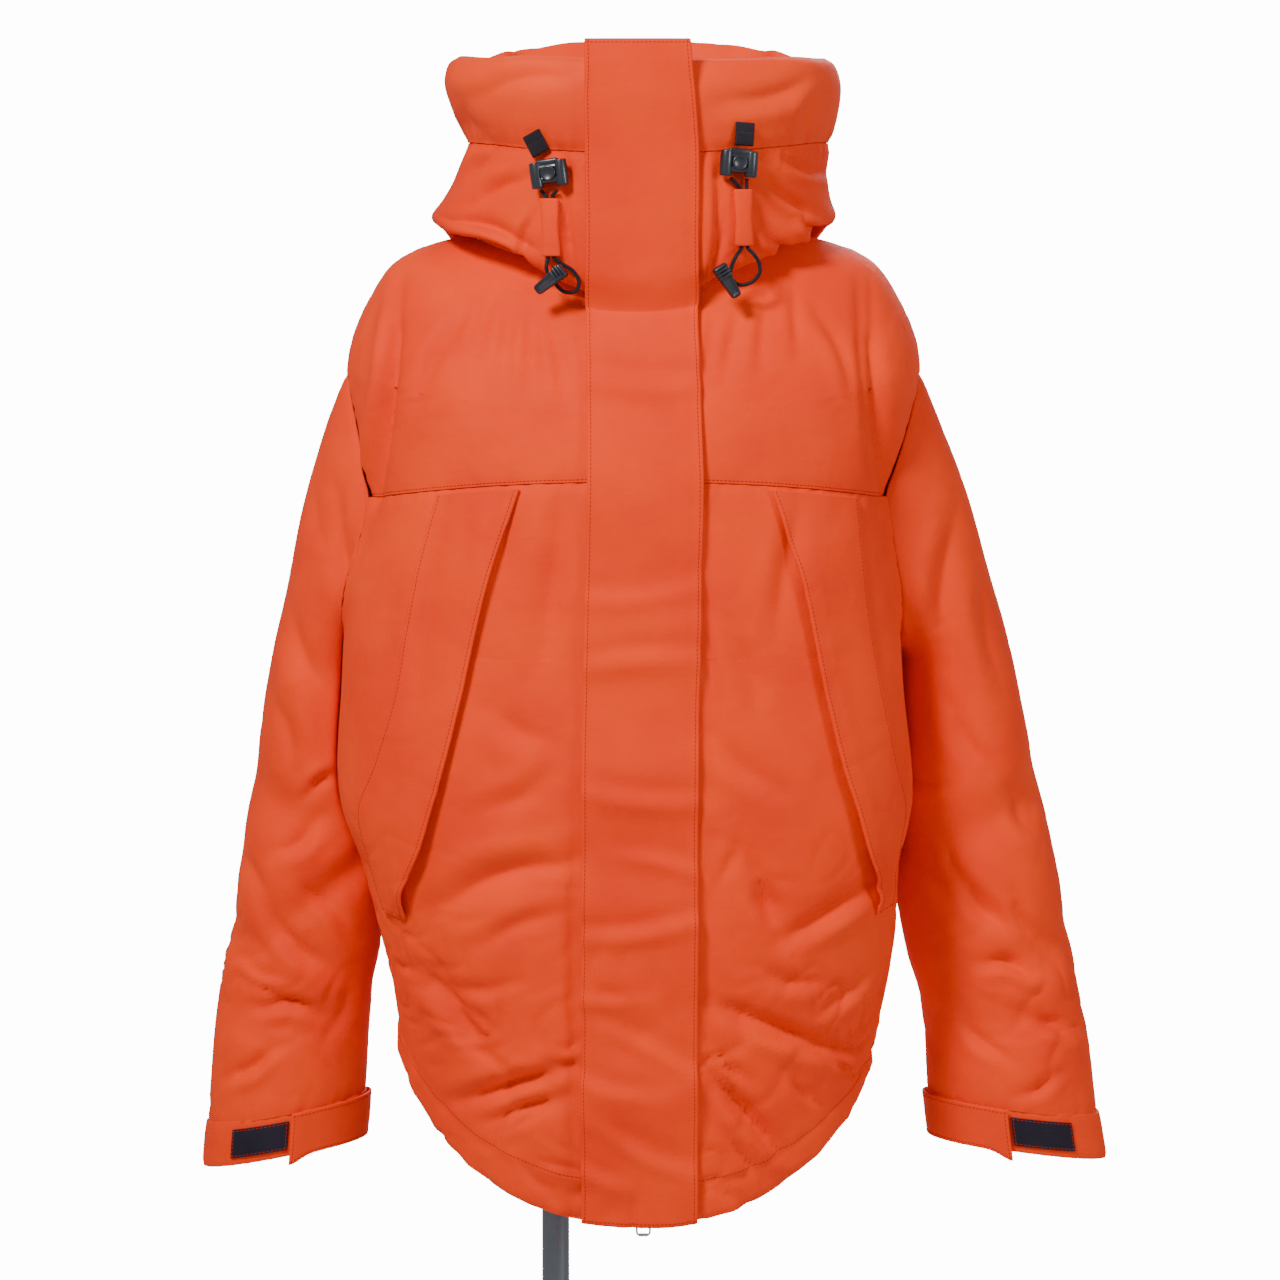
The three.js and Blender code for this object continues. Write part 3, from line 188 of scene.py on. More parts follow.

# %% [markdown]
# Two cords hang at the front of the hood. Each leaves a lock on the hood's seam, runs down inside a
# flat cloth tube, comes out as a free loop that a toggle holds, and goes back up to the lock. The
# cord's own line is a list of places, joined by a smooth curve, and Blender's curve
# object gives it a round section.

# %% The cords' places
CORD = 3 * MM
CORD_OFF = 3.9 * MM  # from the hood's cloth to the middle of the cord
STRAND_OFF = 2.6 * MM
LOCK_SIZE = {"width": 30 * MM, "height": 22 * MM, "thick": 11 * MM}
TAB_SIZE = {"width": 15 * MM, "height": 18 * MM, "thick": 2 * MM}
TUBE_SIZE = {"width": 15 * MM, "thick": 6.4 * MM, "wall": 1.2 * MM}
TOGGLE_SIZE = {"width": 12 * MM, "height": 28 * MM, "thick": 9 * MM}
YAW = math.radians(13)  # the front of the hood turns away from the centre
TUBE_STEPS = (-0.04, 0.06, 0.25, 0.5, 0.75, 0.95, 1.04)
DRAW = {
    "left": {
        "side": -1, "drop": 2.1 * MM,
        "lock": (-0.070, 1.4745, 8), "tab": (-0.080, 1.4975, 28),
        "tube": (-0.070, 1.455, -0.0685, 1.411),
        "toggle": (-0.069, 1.3925, -52, 0.0068),
        "loop": [(-0.072, 1.401), (-0.066, 1.391), (-0.058, 1.3835), (-0.0495, 1.384),
                 (-0.047, 1.391), (-0.051, 1.399), (-0.060, 1.405)],
    },
    "right": {
        "side": 1, "drop": 1 * MM,
        "lock": (0.076, 1.4825, -4), "tab": (0.0805, 1.5045, -4),
        "tube": (0.0795, 1.462, 0.0805, 1.419),
        "toggle": (0.0675, 1.3915, 32, 0.0079),
        "loop": [(0.074, 1.411), (0.0705, 1.403), (0.070, 1.395), (0.076, 1.389),
                 (0.086, 1.391), (0.092, 1.398), (0.0915, 1.406), (0.087, 1.413)],
    },
}


def before_hood(x, z, off):
    """The point in front of the hood at a place of the front view, off its cloth."""
    low, high = 4.0, RIM_LEVEL - 2.0
    for _ in range(30):
        r = (low + high) / 2
        if level_point(HOOD, angle_at_x(HOOD, x, r), r)[2] < z:
            low = r
        else:
            high = r
    y = level_point(HOOD, angle_at_x(HOOD, x, low), low)[1]
    return np.array([x, y - off, z])


def draw_frame(d):
    """Direction across the cord's tube and the depth of the free loop."""
    yaw = d["side"] * YAW
    front = before_hood(d["toggle"][0], 1.420, 0)[1]
    return np.array([math.cos(yaw), math.sin(yaw), 0]), front


def cord_route(d):
    across, front = draw_frame(d)
    top_x, top_z, low_x, low_z = d["tube"]

    def strand(offset, steps):
        mid = [before_hood(top_x + (low_x - top_x) * t, top_z + (low_z - top_z) * t, CORD_OFF) for t in steps]
        return [p + offset * across for p in mid]

    lock_x, lock_z, _ = d["lock"]
    lock_low = lock_z - LOCK_SIZE["height"] / 2 - d["drop"]
    tops = [before_hood(lock_x + 2.4 * o, lock_low, CORD_OFF + 1.5 * MM) for o in (-STRAND_OFF, STRAND_OFF)]
    loop = [np.array([x, front - 4.6 * MM, z]) for x, z in d["loop"]]
    down = strand(-STRAND_OFF, TUBE_STEPS)
    up = strand(STRAND_OFF, TUBE_STEPS[::-1])
    return [tops[0], *down, *loop, *up, tops[1]]


def smooth_line(points, per_span):
    """Centripetal curve through the points, with even steps inside each span."""
    p = [2 * points[0] - points[1], *points, 2 * points[-1] - points[-2]]
    line = []
    for i in range(1, len(p) - 2):
        t = np.concatenate(([0], np.cumsum([np.linalg.norm(p[i + k] - p[i + k - 1]) ** 0.5 for k in (0, 1, 2)])))
        for s in np.linspace(t[1], t[2], per_span, endpoint=False):
            a = [(t[k + 1] - s) / (t[k + 1] - t[k]) * p[i - 1 + k] + (s - t[k]) / (t[k + 1] - t[k]) * p[i + k]
                 for k in range(3)]
            b = [(t[k + 2] - s) / (t[k + 2] - t[k]) * a[k] + (s - t[k]) / (t[k + 2] - t[k]) * a[k + 1]
                 for k in range(2)]
            line.append((t[2] - s) / (t[2] - t[1]) * b[0] + (s - t[1]) / (t[2] - t[1]) * b[1])
    return np.array([*line, points[-1]])


# %% The cords
def make_cord(name, d):
    line = smooth_line(cord_route(d), 8)
    data = bpy.data.curves.new(name, "CURVE")
    data.dimensions = "3D"
    spline = data.splines.new("POLY")
    spline.points.add(len(line) - 1)
    for point, place in zip(spline.points, line):
        point.co = (*place, 1)
    data.bevel_depth = CORD / 2
    data.bevel_resolution = 3
    data.use_fill_caps = True
    piece = bpy.data.objects.new(name, data)
    bpy.context.scene.collection.objects.link(piece)
    length = float(np.linalg.norm(np.diff(line, axis=0), axis=1).sum())
    print(name, "is", round(length, 3), "m long")
    return piece, line, length


cords = {name: make_cord(f"round_cord_{name}", d) for name, d in DRAW.items()}

# %% [markdown]
# A material is built from small shader groups, each with one effect and named inputs. The weave
# reads the piece's own UV map, which is laid out in metres, so a thread is as wide on every piece.
# Blotch gives the slow change of tone that dyed cloth has, and rumple a faint unevenness too fine
# to model.


# %% Shader groups
def new_group(name, inputs, outputs):
    group = bpy.data.node_groups.new(name, "ShaderNodeTree")
    for kind, label, value in inputs:
        socket = group.interface.new_socket(label, in_out="INPUT", socket_type=kind)
        if value is not None:
            socket.default_value = value
    for kind, label in outputs:
        group.interface.new_socket(label, in_out="OUTPUT", socket_type=kind)
    start = group.nodes.new("NodeGroupInput")
    end = group.nodes.new("NodeGroupOutput")
    return group, start, end


def node(tree, kind, links=(), **values):
    """A node with its values set and its inputs linked, by socket name or number."""
    made = tree.nodes.new(kind)
    for name, value in values.items():
        setattr(made, name, value)
    for socket, source in links:
        if isinstance(source, (int, float, tuple)):
            made.inputs[socket].default_value = source
        else:
            tree.links.new(source, made.inputs[socket])
    return made


def maths(tree, operation, *sources):
    return node(tree, "ShaderNodeMath", list(enumerate(sources)), operation=operation).outputs[0]


def make_weave_group():
    """Plain weave: threads that pass over and under each other, and a few thicker ones."""
    group, start, end = new_group(
        "plain_weave",
        [("NodeSocketVector", "Place", None), ("NodeSocketFloat", "Threads", 1500.0), ("NodeSocketFloat", "Slub", 0.5)],
        [("NodeSocketFloat", "Height"), ("NodeSocketFloat", "Tone")],
    )
    parts = node(group, "ShaderNodeSeparateXYZ", [(0, start.outputs["Place"])])
    turns = maths(group, "MULTIPLY", start.outputs["Threads"], math.tau)
    across = maths(group, "SINE", maths(group, "MULTIPLY", parts.outputs["X"], turns))
    along = maths(group, "SINE", maths(group, "MULTIPLY", parts.outputs["Y"], turns))
    crossing = maths(group, "MULTIPLY", across, along)
    stretch = node(group, "ShaderNodeVectorMath", [(0, start.outputs["Place"]), (1, (45.0, 900.0, 1.0))],
                   operation="MULTIPLY")
    slub = node(group, "ShaderNodeTexNoise", [("Vector", stretch.outputs[0]), ("Scale", 1.0), ("Detail", 2.0)])
    tone = maths(group, "MULTIPLY", slub.outputs["Fac"], start.outputs["Slub"])
    height = maths(group, "MULTIPLY_ADD", crossing, 0.35, tone)
    group.links.new(height, end.inputs["Height"])
    group.links.new(tone, end.inputs["Tone"])
    return group


def make_blotch_group():
    """Slow change between two colours, as in dyed cloth."""
    group, start, end = new_group(
        "blotch",
        [("NodeSocketColor", "Light", (1, 1, 1, 1)), ("NodeSocketColor", "Deep", (0.5, 0.5, 0.5, 1)),
         ("NodeSocketFloat", "Size", 14.0), ("NodeSocketFloat", "Grain", 0.0)],
        [("NodeSocketColor", "Colour")],
    )
    place = node(group, "ShaderNodeTexCoord")
    noise = node(group, "ShaderNodeTexNoise", [("Vector", place.outputs["Object"]), ("Scale", start.outputs["Size"]),
                                               ("Detail", 3.0)])
    spread = node(group, "ShaderNodeMapRange", [(0, noise.outputs["Fac"]), (1, 0.35), (2, 0.65)])
    factor = maths(group, "ADD", spread.outputs[0], start.outputs["Grain"])
    blend = node(group, "ShaderNodeMix", [(0, factor), (6, start.outputs["Deep"]), (7, start.outputs["Light"])],
                 data_type="RGBA")
    group.links.new(blend.outputs[2], end.inputs["Colour"])
    return group


def make_rumple_group():
    """Height of small soft creases that are too fine to model."""
    group, start, end = new_group(
        "rumple",
        [("NodeSocketFloat", "Size", 30.0), ("NodeSocketFloat", "Fine", 120.0)],
        [("NodeSocketFloat", "Height")],
    )
    place = node(group, "ShaderNodeTexCoord")
    heights = [
        node(group, "ShaderNodeTexNoise", [("Vector", place.outputs["Object"]), ("Scale", start.outputs[name]),
                                           ("Detail", 2.0), ("Distortion", 0.6)]).outputs["Fac"]
        for name in ("Size", "Fine")
    ]
    both = maths(group, "MULTIPLY_ADD", heights[1], 0.3, heights[0])
    group.links.new(both, end.inputs["Height"])
    return group


WEAVE = make_weave_group()
BLOTCH = make_blotch_group()
RUMPLE = make_rumple_group()
print("shader groups:", WEAVE.name, BLOTCH.name, RUMPLE.name)

# %% [markdown]
# The cloth is a matt shell with a faint sheen that lightens where it turns away. Its orange is deep
# and full, since light that bounces between orange folds turns their shadows red by itself.


# %% Cloth materials
def new_material(name):
    made = bpy.data.materials.new(name)
    made.use_nodes = True
    shader = made.node_tree.nodes["Principled BSDF"]
    return made, made.node_tree, shader


def cloth_material(name, light, deep, threads=1500.0, slub=0.5, weave_depth=0.00012, rumple_depth=0.0012,
                   rough=0.66, sheen=0.05, blotch_size=14.0):
    made, tree, shader = new_material(name)
    uv = node(tree, "ShaderNodeUVMap", uv_map="cloth")
    weave = node(tree, "ShaderNodeGroup", node_tree=WEAVE)
    tree.links.new(uv.outputs[0], weave.inputs["Place"])
    weave.inputs["Threads"].default_value = threads
    weave.inputs["Slub"].default_value = slub
    blotch = node(tree, "ShaderNodeGroup", node_tree=BLOTCH)
    blotch.inputs["Light"].default_value = (*light, 1)
    blotch.inputs["Deep"].default_value = (*deep, 1)
    blotch.inputs["Size"].default_value = blotch_size
    grain = maths(tree, "MULTIPLY_ADD", weave.outputs["Tone"], 1.2, -0.6 * slub)
    tree.links.new(grain, blotch.inputs["Grain"])
    tree.links.new(blotch.outputs["Colour"], shader.inputs["Base Color"])
    rumple = node(tree, "ShaderNodeGroup", node_tree=RUMPLE)
    soft = node(tree, "ShaderNodeBump", [("Height", rumple.outputs["Height"]), ("Strength", 0.55),
                                         ("Distance", rumple_depth)])
    fine = node(tree, "ShaderNodeBump", [("Height", weave.outputs["Height"]), ("Strength", 0.6),
                                         ("Distance", weave_depth), ("Normal", soft.outputs[0])])
    tree.links.new(fine.outputs[0], shader.inputs["Normal"])
    shader.inputs["Roughness"].default_value = rough
    shader.inputs["Sheen Weight"].default_value = sheen
    shader.inputs["Sheen Roughness"].default_value = 0.45
    shader.inputs["Sheen Tint"].default_value = (1.0, 0.35, 0.15, 1)
    shader.inputs["Specular IOR Level"].default_value = 0.14
    return made


SHELL = cloth_material("orange_shell", (0.93, 0.052, 0.001), (0.84, 0.036, 0.001))
COLLAR = cloth_material("orange_collar", (0.93, 0.060, 0.005), (0.86, 0.042, 0.003))
PANEL = cloth_material("orange_overlay", (0.91, 0.048, 0.001), (0.83, 0.034, 0.001))
TAPE = cloth_material("zip_tape_cloth", (0.66, 0.03, 0.005), (0.55, 0.022, 0.004), threads=900.0,
                      weave_depth=0.0003)
THREAD = cloth_material("stitch_thread", (0.50, 0.018, 0.003), (0.40, 0.013, 0.002), threads=2500.0, sheen=0.1)
HOOKS = cloth_material("hook_tape_black", (0.020, 0.018, 0.032), (0.011, 0.010, 0.018), threads=620.0,
                       slub=0.8, weave_depth=0.0009, rough=0.9, sheen=0.15)
WEBBING = cloth_material("black_webbing", (0.018, 0.018, 0.027), (0.010, 0.010, 0.016), threads=700.0,
                         weave_depth=0.0005, rough=0.62, sheen=0.2)
COVER = cloth_material("form_cotton", (0.74, 0.71, 0.65), (0.68, 0.65, 0.59), threads=1300.0, sheen=0.3)
print("cloths:", SHELL.name, COLLAR.name, PANEL.name, HOOKS.name, COVER.name)

# %% [markdown]
# A piece of cloth here is a grid of points with its rows going up and its columns going round, seen
# from outside from left to right. The shell function gives such a grid its thickness: an inner layer
# set back along the normals, and an edge that is rounded where it is free and square at a seam.


# %% Cloth shells from grids
def grid_normals(grid):
    around = np.gradient(grid, axis=1)
    along = np.gradient(grid, axis=0)
    return unit(np.cross(around, along))


def run_length(grid, axis):
    """Distance along rows or columns of a grid, from its first point."""
    steps = np.linalg.norm(np.diff(grid, axis=axis), axis=-1)
    start = np.zeros_like(np.take(steps, [0], axis=axis))
    return np.concatenate([start, np.cumsum(steps, axis=axis)], axis=axis)


def edge_spaced(length, step=3.8 * MM):
    """Shares from 0 to 1 with even steps, and closer ones at both ends."""
    close = np.array([0, 0.5, 1.4, 2.7]) * MM / length
    inner = np.linspace(close[-1], 1 - close[-1], max(int(length / step), 3))
    return np.concatenate([close[:-1], inner, 1 - close[:-1][::-1]])


def perimeter(values):
    """Border of a grid, anticlockwise seen from outside, each corner once."""
    return np.concatenate([values[0, :-1], values[:-1, -1], values[-1, :0:-1], values[:0:-1, 0]])


def outward(grid):
    """Direction that leaves the grid in its own surface, at each border point."""
    leave = np.zeros_like(grid)
    leave[0] += unit(grid[0] - grid[1])
    leave[-1] += unit(grid[-1] - grid[-2])
    leave[:, 0] += unit(grid[:, 0] - grid[:, 1])
    leave[:, -1] += unit(grid[:, -1] - grid[:, -2])
    return perimeter(unit(leave))


RIM_RINGS = 3


def shell(name, grid, thick, material, roll=0.0, facing=None):
    """A closed cloth piece from its outer grid. Roll is how far its free edge swells out."""
    rows, cols = grid.shape[:2]
    normals = grid_normals(grid) if facing is None else facing
    thick = np.broadcast_to(np.asarray(thick, float), grid.shape[:2])[..., None]
    inner = grid - normals * thick
    number = np.arange(rows * cols).reshape(rows, cols)
    a, b, c, d = number[:-1, :-1], number[:-1, 1:], number[1:, 1:], number[1:, :-1]
    front = np.stack([a, b, c, d], -1).reshape(-1, 4)
    shift = rows * cols
    back = np.stack([a, d, c, b], -1).reshape(-1, 4) + shift
    border = perimeter(number)
    middle = perimeter((grid + inner) / 2)
    half = perimeter(normals * thick / 2)
    leave = outward(grid) * roll
    points = [grid.reshape(-1, 3), inner.reshape(-1, 3)]
    rings = [border]
    for k in range(1, RIM_RINGS):
        turn = math.pi * k / RIM_RINGS
        points.append(middle + half * math.cos(turn) + leave * math.sin(turn))
        rings.append(2 * shift + (k - 1) * len(border) + np.arange(len(border)))
    rings.append(border + shift)
    sides = [
        np.stack([np.roll(p, -1), p, q, np.roll(q, -1)], -1) for p, q in zip(rings, rings[1:])
    ]
    faces = np.concatenate([front, back, *sides])
    across = run_length(grid, 1) - run_length(grid, 1)[:, [cols // 2]]
    up = np.broadcast_to(run_length(grid, 0).mean(axis=1, keepdims=True), (rows, cols))
    flat = np.stack([across, up], -1)
    rim_flat = np.tile(perimeter(flat), (RIM_RINGS - 1, 1))
    uv = np.concatenate([flat.reshape(-1, 2), flat.reshape(-1, 2), rim_flat])
    return mesh_piece(f"{name}_cloth", np.concatenate(points), faces, material, uv)


def mesh_piece(name, points, faces, material, uv):
    data = bpy.data.meshes.new(name)
    data.from_pydata(points.tolist(), [], faces.tolist())
    data.polygons.foreach_set("use_smooth", np.ones(len(faces), bool))
    layer = data.uv_layers.new(name="cloth")
    corner = np.zeros(len(data.loops), np.int32)
    data.loops.foreach_get("vertex_index", corner)
    layer.data.foreach_set("uv", uv[corner].astype(np.float32).ravel())
    data.materials.append(material)
    data.update()
    piece = bpy.data.objects.new(name, data)
    bpy.context.scene.collection.objects.link(piece)
    return piece


def sew_on(piece, grid, slot, *nodes):
    """Rides on the jacket and replaces its solids."""
    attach(piece, JACKET)
    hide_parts(*nodes)
    return piece


# %% [markdown]
# Worn cloth is never even. Broad slow swells come from a few sine waves in seeded directions, and
# each main crease is listed: a soft trough between two points of the front view, bowed
# sideways by a little, with a low ridge along one side where the cloth is pushed up.


# %% Creases and swells
swell_random = np.random.default_rng(7)
SWELLS = [
    {"way": unit(swell_random.normal(size=3)) * math.tau / length, "start": swell_random.uniform(0, math.tau)}
    for length in (0.09, 0.11, 0.13, 0.16, 0.19, 0.23, 0.27, 0.31)
]


CRUMPLES = [
    {"way": np.array([math.cos(turn), 0.35, math.sin(turn)]) * math.pi / (length * MM),
     "start": swell_random.uniform(0, math.tau)}
    for turn, length in ((1.2, 41), (2.3, 52), (0.5, 63), (1.75, 35), (2.8, 47))
]
DEEPER = 2.1  # the creases' depth against the table's


def swell(points):
    """Slow unevenness, about from -1 to 1."""
    total = sum(np.sin(points @ wave["way"] + wave["start"]) for wave in SWELLS)
    return total / 4


def ripple(along, seed, shortest=9 * MM):
    """Uneven small waves along a seam, about from -1 to 1."""
    random = np.random.default_rng(seed)
    total = np.zeros_like(along)
    for k in range(5):
        length = shortest * (1 + 0.35 * k) * random.uniform(0.9, 1.1)
        total += np.sin(along * math.tau / length + random.uniform(0, math.tau)) / 2.5
    return total


CREASE_COLUMNS = "x0 z0 x1 z1 bow wide deep ridge"
FRONT_CREASES = table(CREASE_COLUMNS, [
    (-66, 782, -136, 755, 0, 13, 6, 2.5),
    (-68, 758, -110, 742, 2, 10, 5, 2),
    (-160, 842, -128, 806, 0, 14, 5, 2),
    (-62, 944, -148, 912, 8, 18, 5, 1.5),
    (74, 830, 156, 792, 0, 13, 7, 2.5),
    (64, 770, 110, 716, 0, 12, 6, 2.5),
    (92, 934, 106, 894, 0, 14, 5, 1.5),
    (124, 892, 172, 918, 0, 13, 5, 2),
    (-60, 1220, -72, 1116, 0, 16, 3, 1),
    (-188, 1392, -194, 1330, 0, 9, 1.6, 1.5),
    (-192, 1350, -208, 1225, 0, 9, 6.5, 3),
    (182, 1392, 184, 1330, 0, 9, 1.6, -1.5),
    (183, 1342, 194, 1225, 0, 9, 6.5, -3),
    (-113, 725, -107, 744, 0, 5, 2, 1),
    (-100, 735, -82, 747, 0, 5, 2, 1),
    (-70, 708, -46, 702, 0, 5, 2.5, 1),
    (-154, 841, -134, 828, 2, 6, 2, 1),
    (-127, 823, -117, 816, 0, 5, 1.5, 0.8),
    (-62, 800, -48, 806, 2, 6, 2, 1.5),
    (-158, 845, -98, 852, 5, 10, 2, 1),
    (-52, 960, -52, 716, 0, 9, 2.2, 0),
    (-68, 905, -120, 880, 4, 12, 2.5, 1),
    (-75, 1010, -110, 990, -4, 14, 2, 1),
    (-110, 1060, -74, 1040, 3, 16, 2, 0.8),
    (-150, 1210, -170, 1080, 4, 15, 2.5, 1),
    (-100, 1230, -108, 1150, 0, 14, 1.8, 0.8),
    (53, 1210, 55, 1000, 0, 10, 2, 0),
    (53, 960, 54, 740, 0, 9, 2, 0),
    (74, 955, 62, 930, 0, 7, 2.2, 1),
    (96, 862, 140, 850, 5, 11, 2.5, 1),
    (60, 800, 84, 774, 3, 7, 2.5, 1.2),
    (118, 776, 142, 752, 3, 8, 2.5, 1),
    (70, 730, 94, 700, 2, 7, 2, 1),
    (120, 1215, 106, 1130, 0, 14, 2.2, 1),
    (70, 1120, 92, 1060, -4, 15, 2, 1),
    (60, 1040, 104, 1004, 4, 14, 2, 1),
    (150, 830, 176, 850, 2, 8, 2.5, 1),
    (-118, 1376, -128, 1338, 0, 8, 1.6, 0.8),
    (-100, 1370, -106, 1326, 0, 8, 1.8, 0.8),
    (-84, 1364, -84, 1312, 0, 8, 2.2, 1),
    (-68, 1356, -58, 1300, -2, 8, 2.4, 1),
    (56, 1352, 50, 1310, 0, 8, 2, 0.8),
    (74, 1360, 64, 1318, 0, 8, 2, 0.8),
    (96, 1370, 92, 1324, 0, 8, 1.6, 0.8),
    (120, 1382, 122, 1338, 0, 8, 1.6, 0.8),
    (-140, 1360, -172, 1300, 5, 10, 2.5, 1),
    (140, 1366, 164, 1310, -5, 10, 2.5, 1),
])
BACK_CREASES = table(CREASE_COLUMNS, [
    (-120, 800, -40, 770, 5, 16, 6, 2),
    (130, 860, 50, 822, 4, 17, 6, 2),
    (-150, 900, -70, 930, 6, 18, 5, 2),
    (40, 950, 140, 980, 6, 18, 5, 2),
    (-20, 1240, -34, 1080, 5, 20, 4, 1.5),
    (90, 1230, 112, 1090, 5, 18, 4, 1.5),
    (-90, 742, -30, 722, 3, 10, 4, 1.5),
    (40, 760, 110, 726, 4, 11, 4, 1.5),
    (-160, 850, -118, 836, 3, 10, 3, 1),
    (10, 880, -60, 862, 4, 12, 3, 1),
    (60, 1040, 0, 1016, 4, 15, 3, 1),
    (-130, 1010, -80, 1040, 5, 14, 3, 1),
    (150, 1060, 170, 980, 4, 13, 3, 1),
    (-130, 1220, -150, 1130, 3, 15, 3, 1),
    (-60, 1300, -90, 1262, 3, 12, 2, 1),
    (70, 1310, 90, 1270, 3, 12, 2, 1),
])


def crease_depth(creases, points):
    """Depth of the creases at points, by their place in the front view."""
    x, z = points[..., 0], points[..., 2]
    depth = np.zeros_like(x)
    for x0, z0, x1, z1, bow, wide, deep, ridge in zip(*(creases[name] for name in CREASE_COLUMNS.split())):
        dx, dz = x1 - x0, z1 - z0
        length = math.hypot(dx, dz)
        along = ((x - x0) * dx + (z - z0) * dz) / length**2
        t = np.clip(along, 0, 1)
        across = ((x - x0) * dz - (z - z0) * dx) / length - bow * 4 * t * (1 - t)
        beyond = (along - t) * length
        fade = np.exp(-((beyond / (1.3 * wide)) ** 2)) * (0.45 + 0.55 * np.sin(math.pi * t))
        trough = np.exp(-((np.abs(across) / (0.55 * wide)) ** 1.4))
        push = np.exp(-(((across - 1.1 * wide) / (0.6 * wide)) ** 2))
        depth += fade * (DEEPER * deep * trough - DEEPER * ridge * push)
    return depth


def crumple(points, where):
    """Small sharp creases that cross each other, as far as a mask lets them show."""
    total = np.zeros(points.shape[:-1])
    bend = 0.9 * swell(points * 2.6)
    for k, wave in enumerate(CRUMPLES):
        phase = points @ wave["way"] + wave["start"] + bend * (1 + 0.3 * k)
        patch = np.clip(swell(points * 1.9 + 0.31 * k) + 0.15, 0, 1)
        total += (1 - np.abs(np.sin(phase))) ** 3 * patch
    return total * where


def edge_relief(grid, seams, seed):
    """Valleys and puckers along sewn edges: low, high, left or right, with their depth and reach."""
    across, up = run_length(grid, 1), run_length(grid, 0)
    away = {
        "left": (across, up), "right": (across[:, -1:] - across, up),
        "low": (up, across), "high": (up[-1:] - up, across),
    }
    relief = np.zeros(grid.shape[:2])
    for k, (edge, (valley, reach, pucker)) in enumerate(sorted(seams.items())):
        off, along = away[edge]
        relief += valley * np.exp(-((off / reach) ** 2))
        relief += pucker * np.exp(-((off / (3.2 * reach)) ** 2)) * (0.6 + 0.9 * ripple(along + 0.25 * off, seed + k))
    return relief


# %% [markdown]
# The body's surface is the plain table surface with the creases and swells taken out of it. Pieces
# that lie on the fronts, such as the placket and the pocket panels, are laid on this same surface.


# %% The body's finished surface
FRONT_PUFF = 1.6 * MM
CRUMPLED = 3.4 * MM


def body_surface(angle, r):
    points = level_point(BODY, angle, r)
    normals = level_normal(BODY, angle, r)
    depth = np.where(np.cos(angle) > 0, crease_depth(FRONT_CREASES, points), crease_depth(BACK_CREASES, points))
    side_fade = np.clip(np.abs(np.cos(angle)) * 4, 0, 1)
    low = np.clip((1.0 - points[..., 2]) / 0.16, 0.14, 1)
    depth = depth * side_fade - FRONT_PUFF * swell(points) + CRUMPLED * crumple(points, low)
    return points - normals * depth[..., None], normals


ARM = {"low": 5.35, "high": 7.98, "ahead": math.radians(17), "behind": math.radians(32),
       "seam_low": math.radians(104), "seam_high": math.radians(91)}
ARM_MIDDLE = (ARM["low"] + ARM["high"]) / 2
ARM_HALF = (ARM["high"] - ARM["low"]) / 2


def side_seam(r):
    return np.interp(r, [ARM["low"], ARM["high"]], [ARM["seam_low"], ARM["seam_high"]])


def arm_edge(r, reach):
    inside = np.clip(1 - ((np.asarray(r) - ARM_MIDDLE) / ARM_HALF) ** 2, 0, None)
    return reach * np.sqrt(inside) ** 0.8


def arm_front(r):
    return side_seam(r) - arm_edge(r, ARM["ahead"])


def arm_back(r):
    return side_seam(r) + arm_edge(r, ARM["behind"])


ARM_ROWS = ARM_MIDDLE + ARM_HALF * np.sin(np.radians(np.linspace(-90, 90, 61)))


def level_rows(low, high, length, with_arm=True):
    """Row numbers from low to high, with the armhole's own rows among them."""
    rows = low + (high - low) * edge_spaced(length)
    if with_arm:
        own = ARM_ROWS[(ARM_ROWS > low + 0.03) & (ARM_ROWS < high - 0.03)]
        rows = rows[(rows <= ARM["low"]) | (rows >= ARM["high"]) | (rows < low + 0.03) | (rows > high - 0.03)]
        rows = np.concatenate([rows, own])
    return np.unique(np.round(rows, 5))


def angle_grid(rows, from_angle, to_angle, length, surface_rows=BODY):
    """Angles and row numbers of a panel between two edges, half a seam inside them."""
    a, b = from_angle(rows), to_angle(rows)
    reach = np.linalg.norm(level_point(surface_rows, a, rows) - level_point(surface_rows, b, rows), axis=-1)
    inset = SEAM / 2 / np.maximum(reach / np.maximum(np.abs(b - a), 1e-6), 0.06)
    share = edge_spaced(length)[None, :]
    start, stop = (a + inset)[:, None], (b - inset)[:, None]
    return start + (stop - start) * share, np.broadcast_to(rows[:, None], (len(rows), share.shape[1]))


print("armhole rows:", len(ARM_ROWS))

# %% [markdown]
# The fronts and the back are cut at the yoke: a lower part and a yoke each. Along every seam the
# padding is pressed flat, so the cloth dips into a narrow valley with small uneven puckers, and the
# hem has a wider dip where its facing ends.

# %% Fronts and backs
CENTRE = 9.5 * MM  # half the gap between the fronts, which the zip fills
SEWN = (1.5 * MM, 4 * MM, 0.5 * MM)  # valley, reach and pucker of a seam
PRESSED = (1.0 * MM, 4 * MM, 0.3 * MM)
HEM_FACING = 27 * MM
LIP = 4.5 * MM  # how far a front swells over the armhole's edge
hem_line = {}


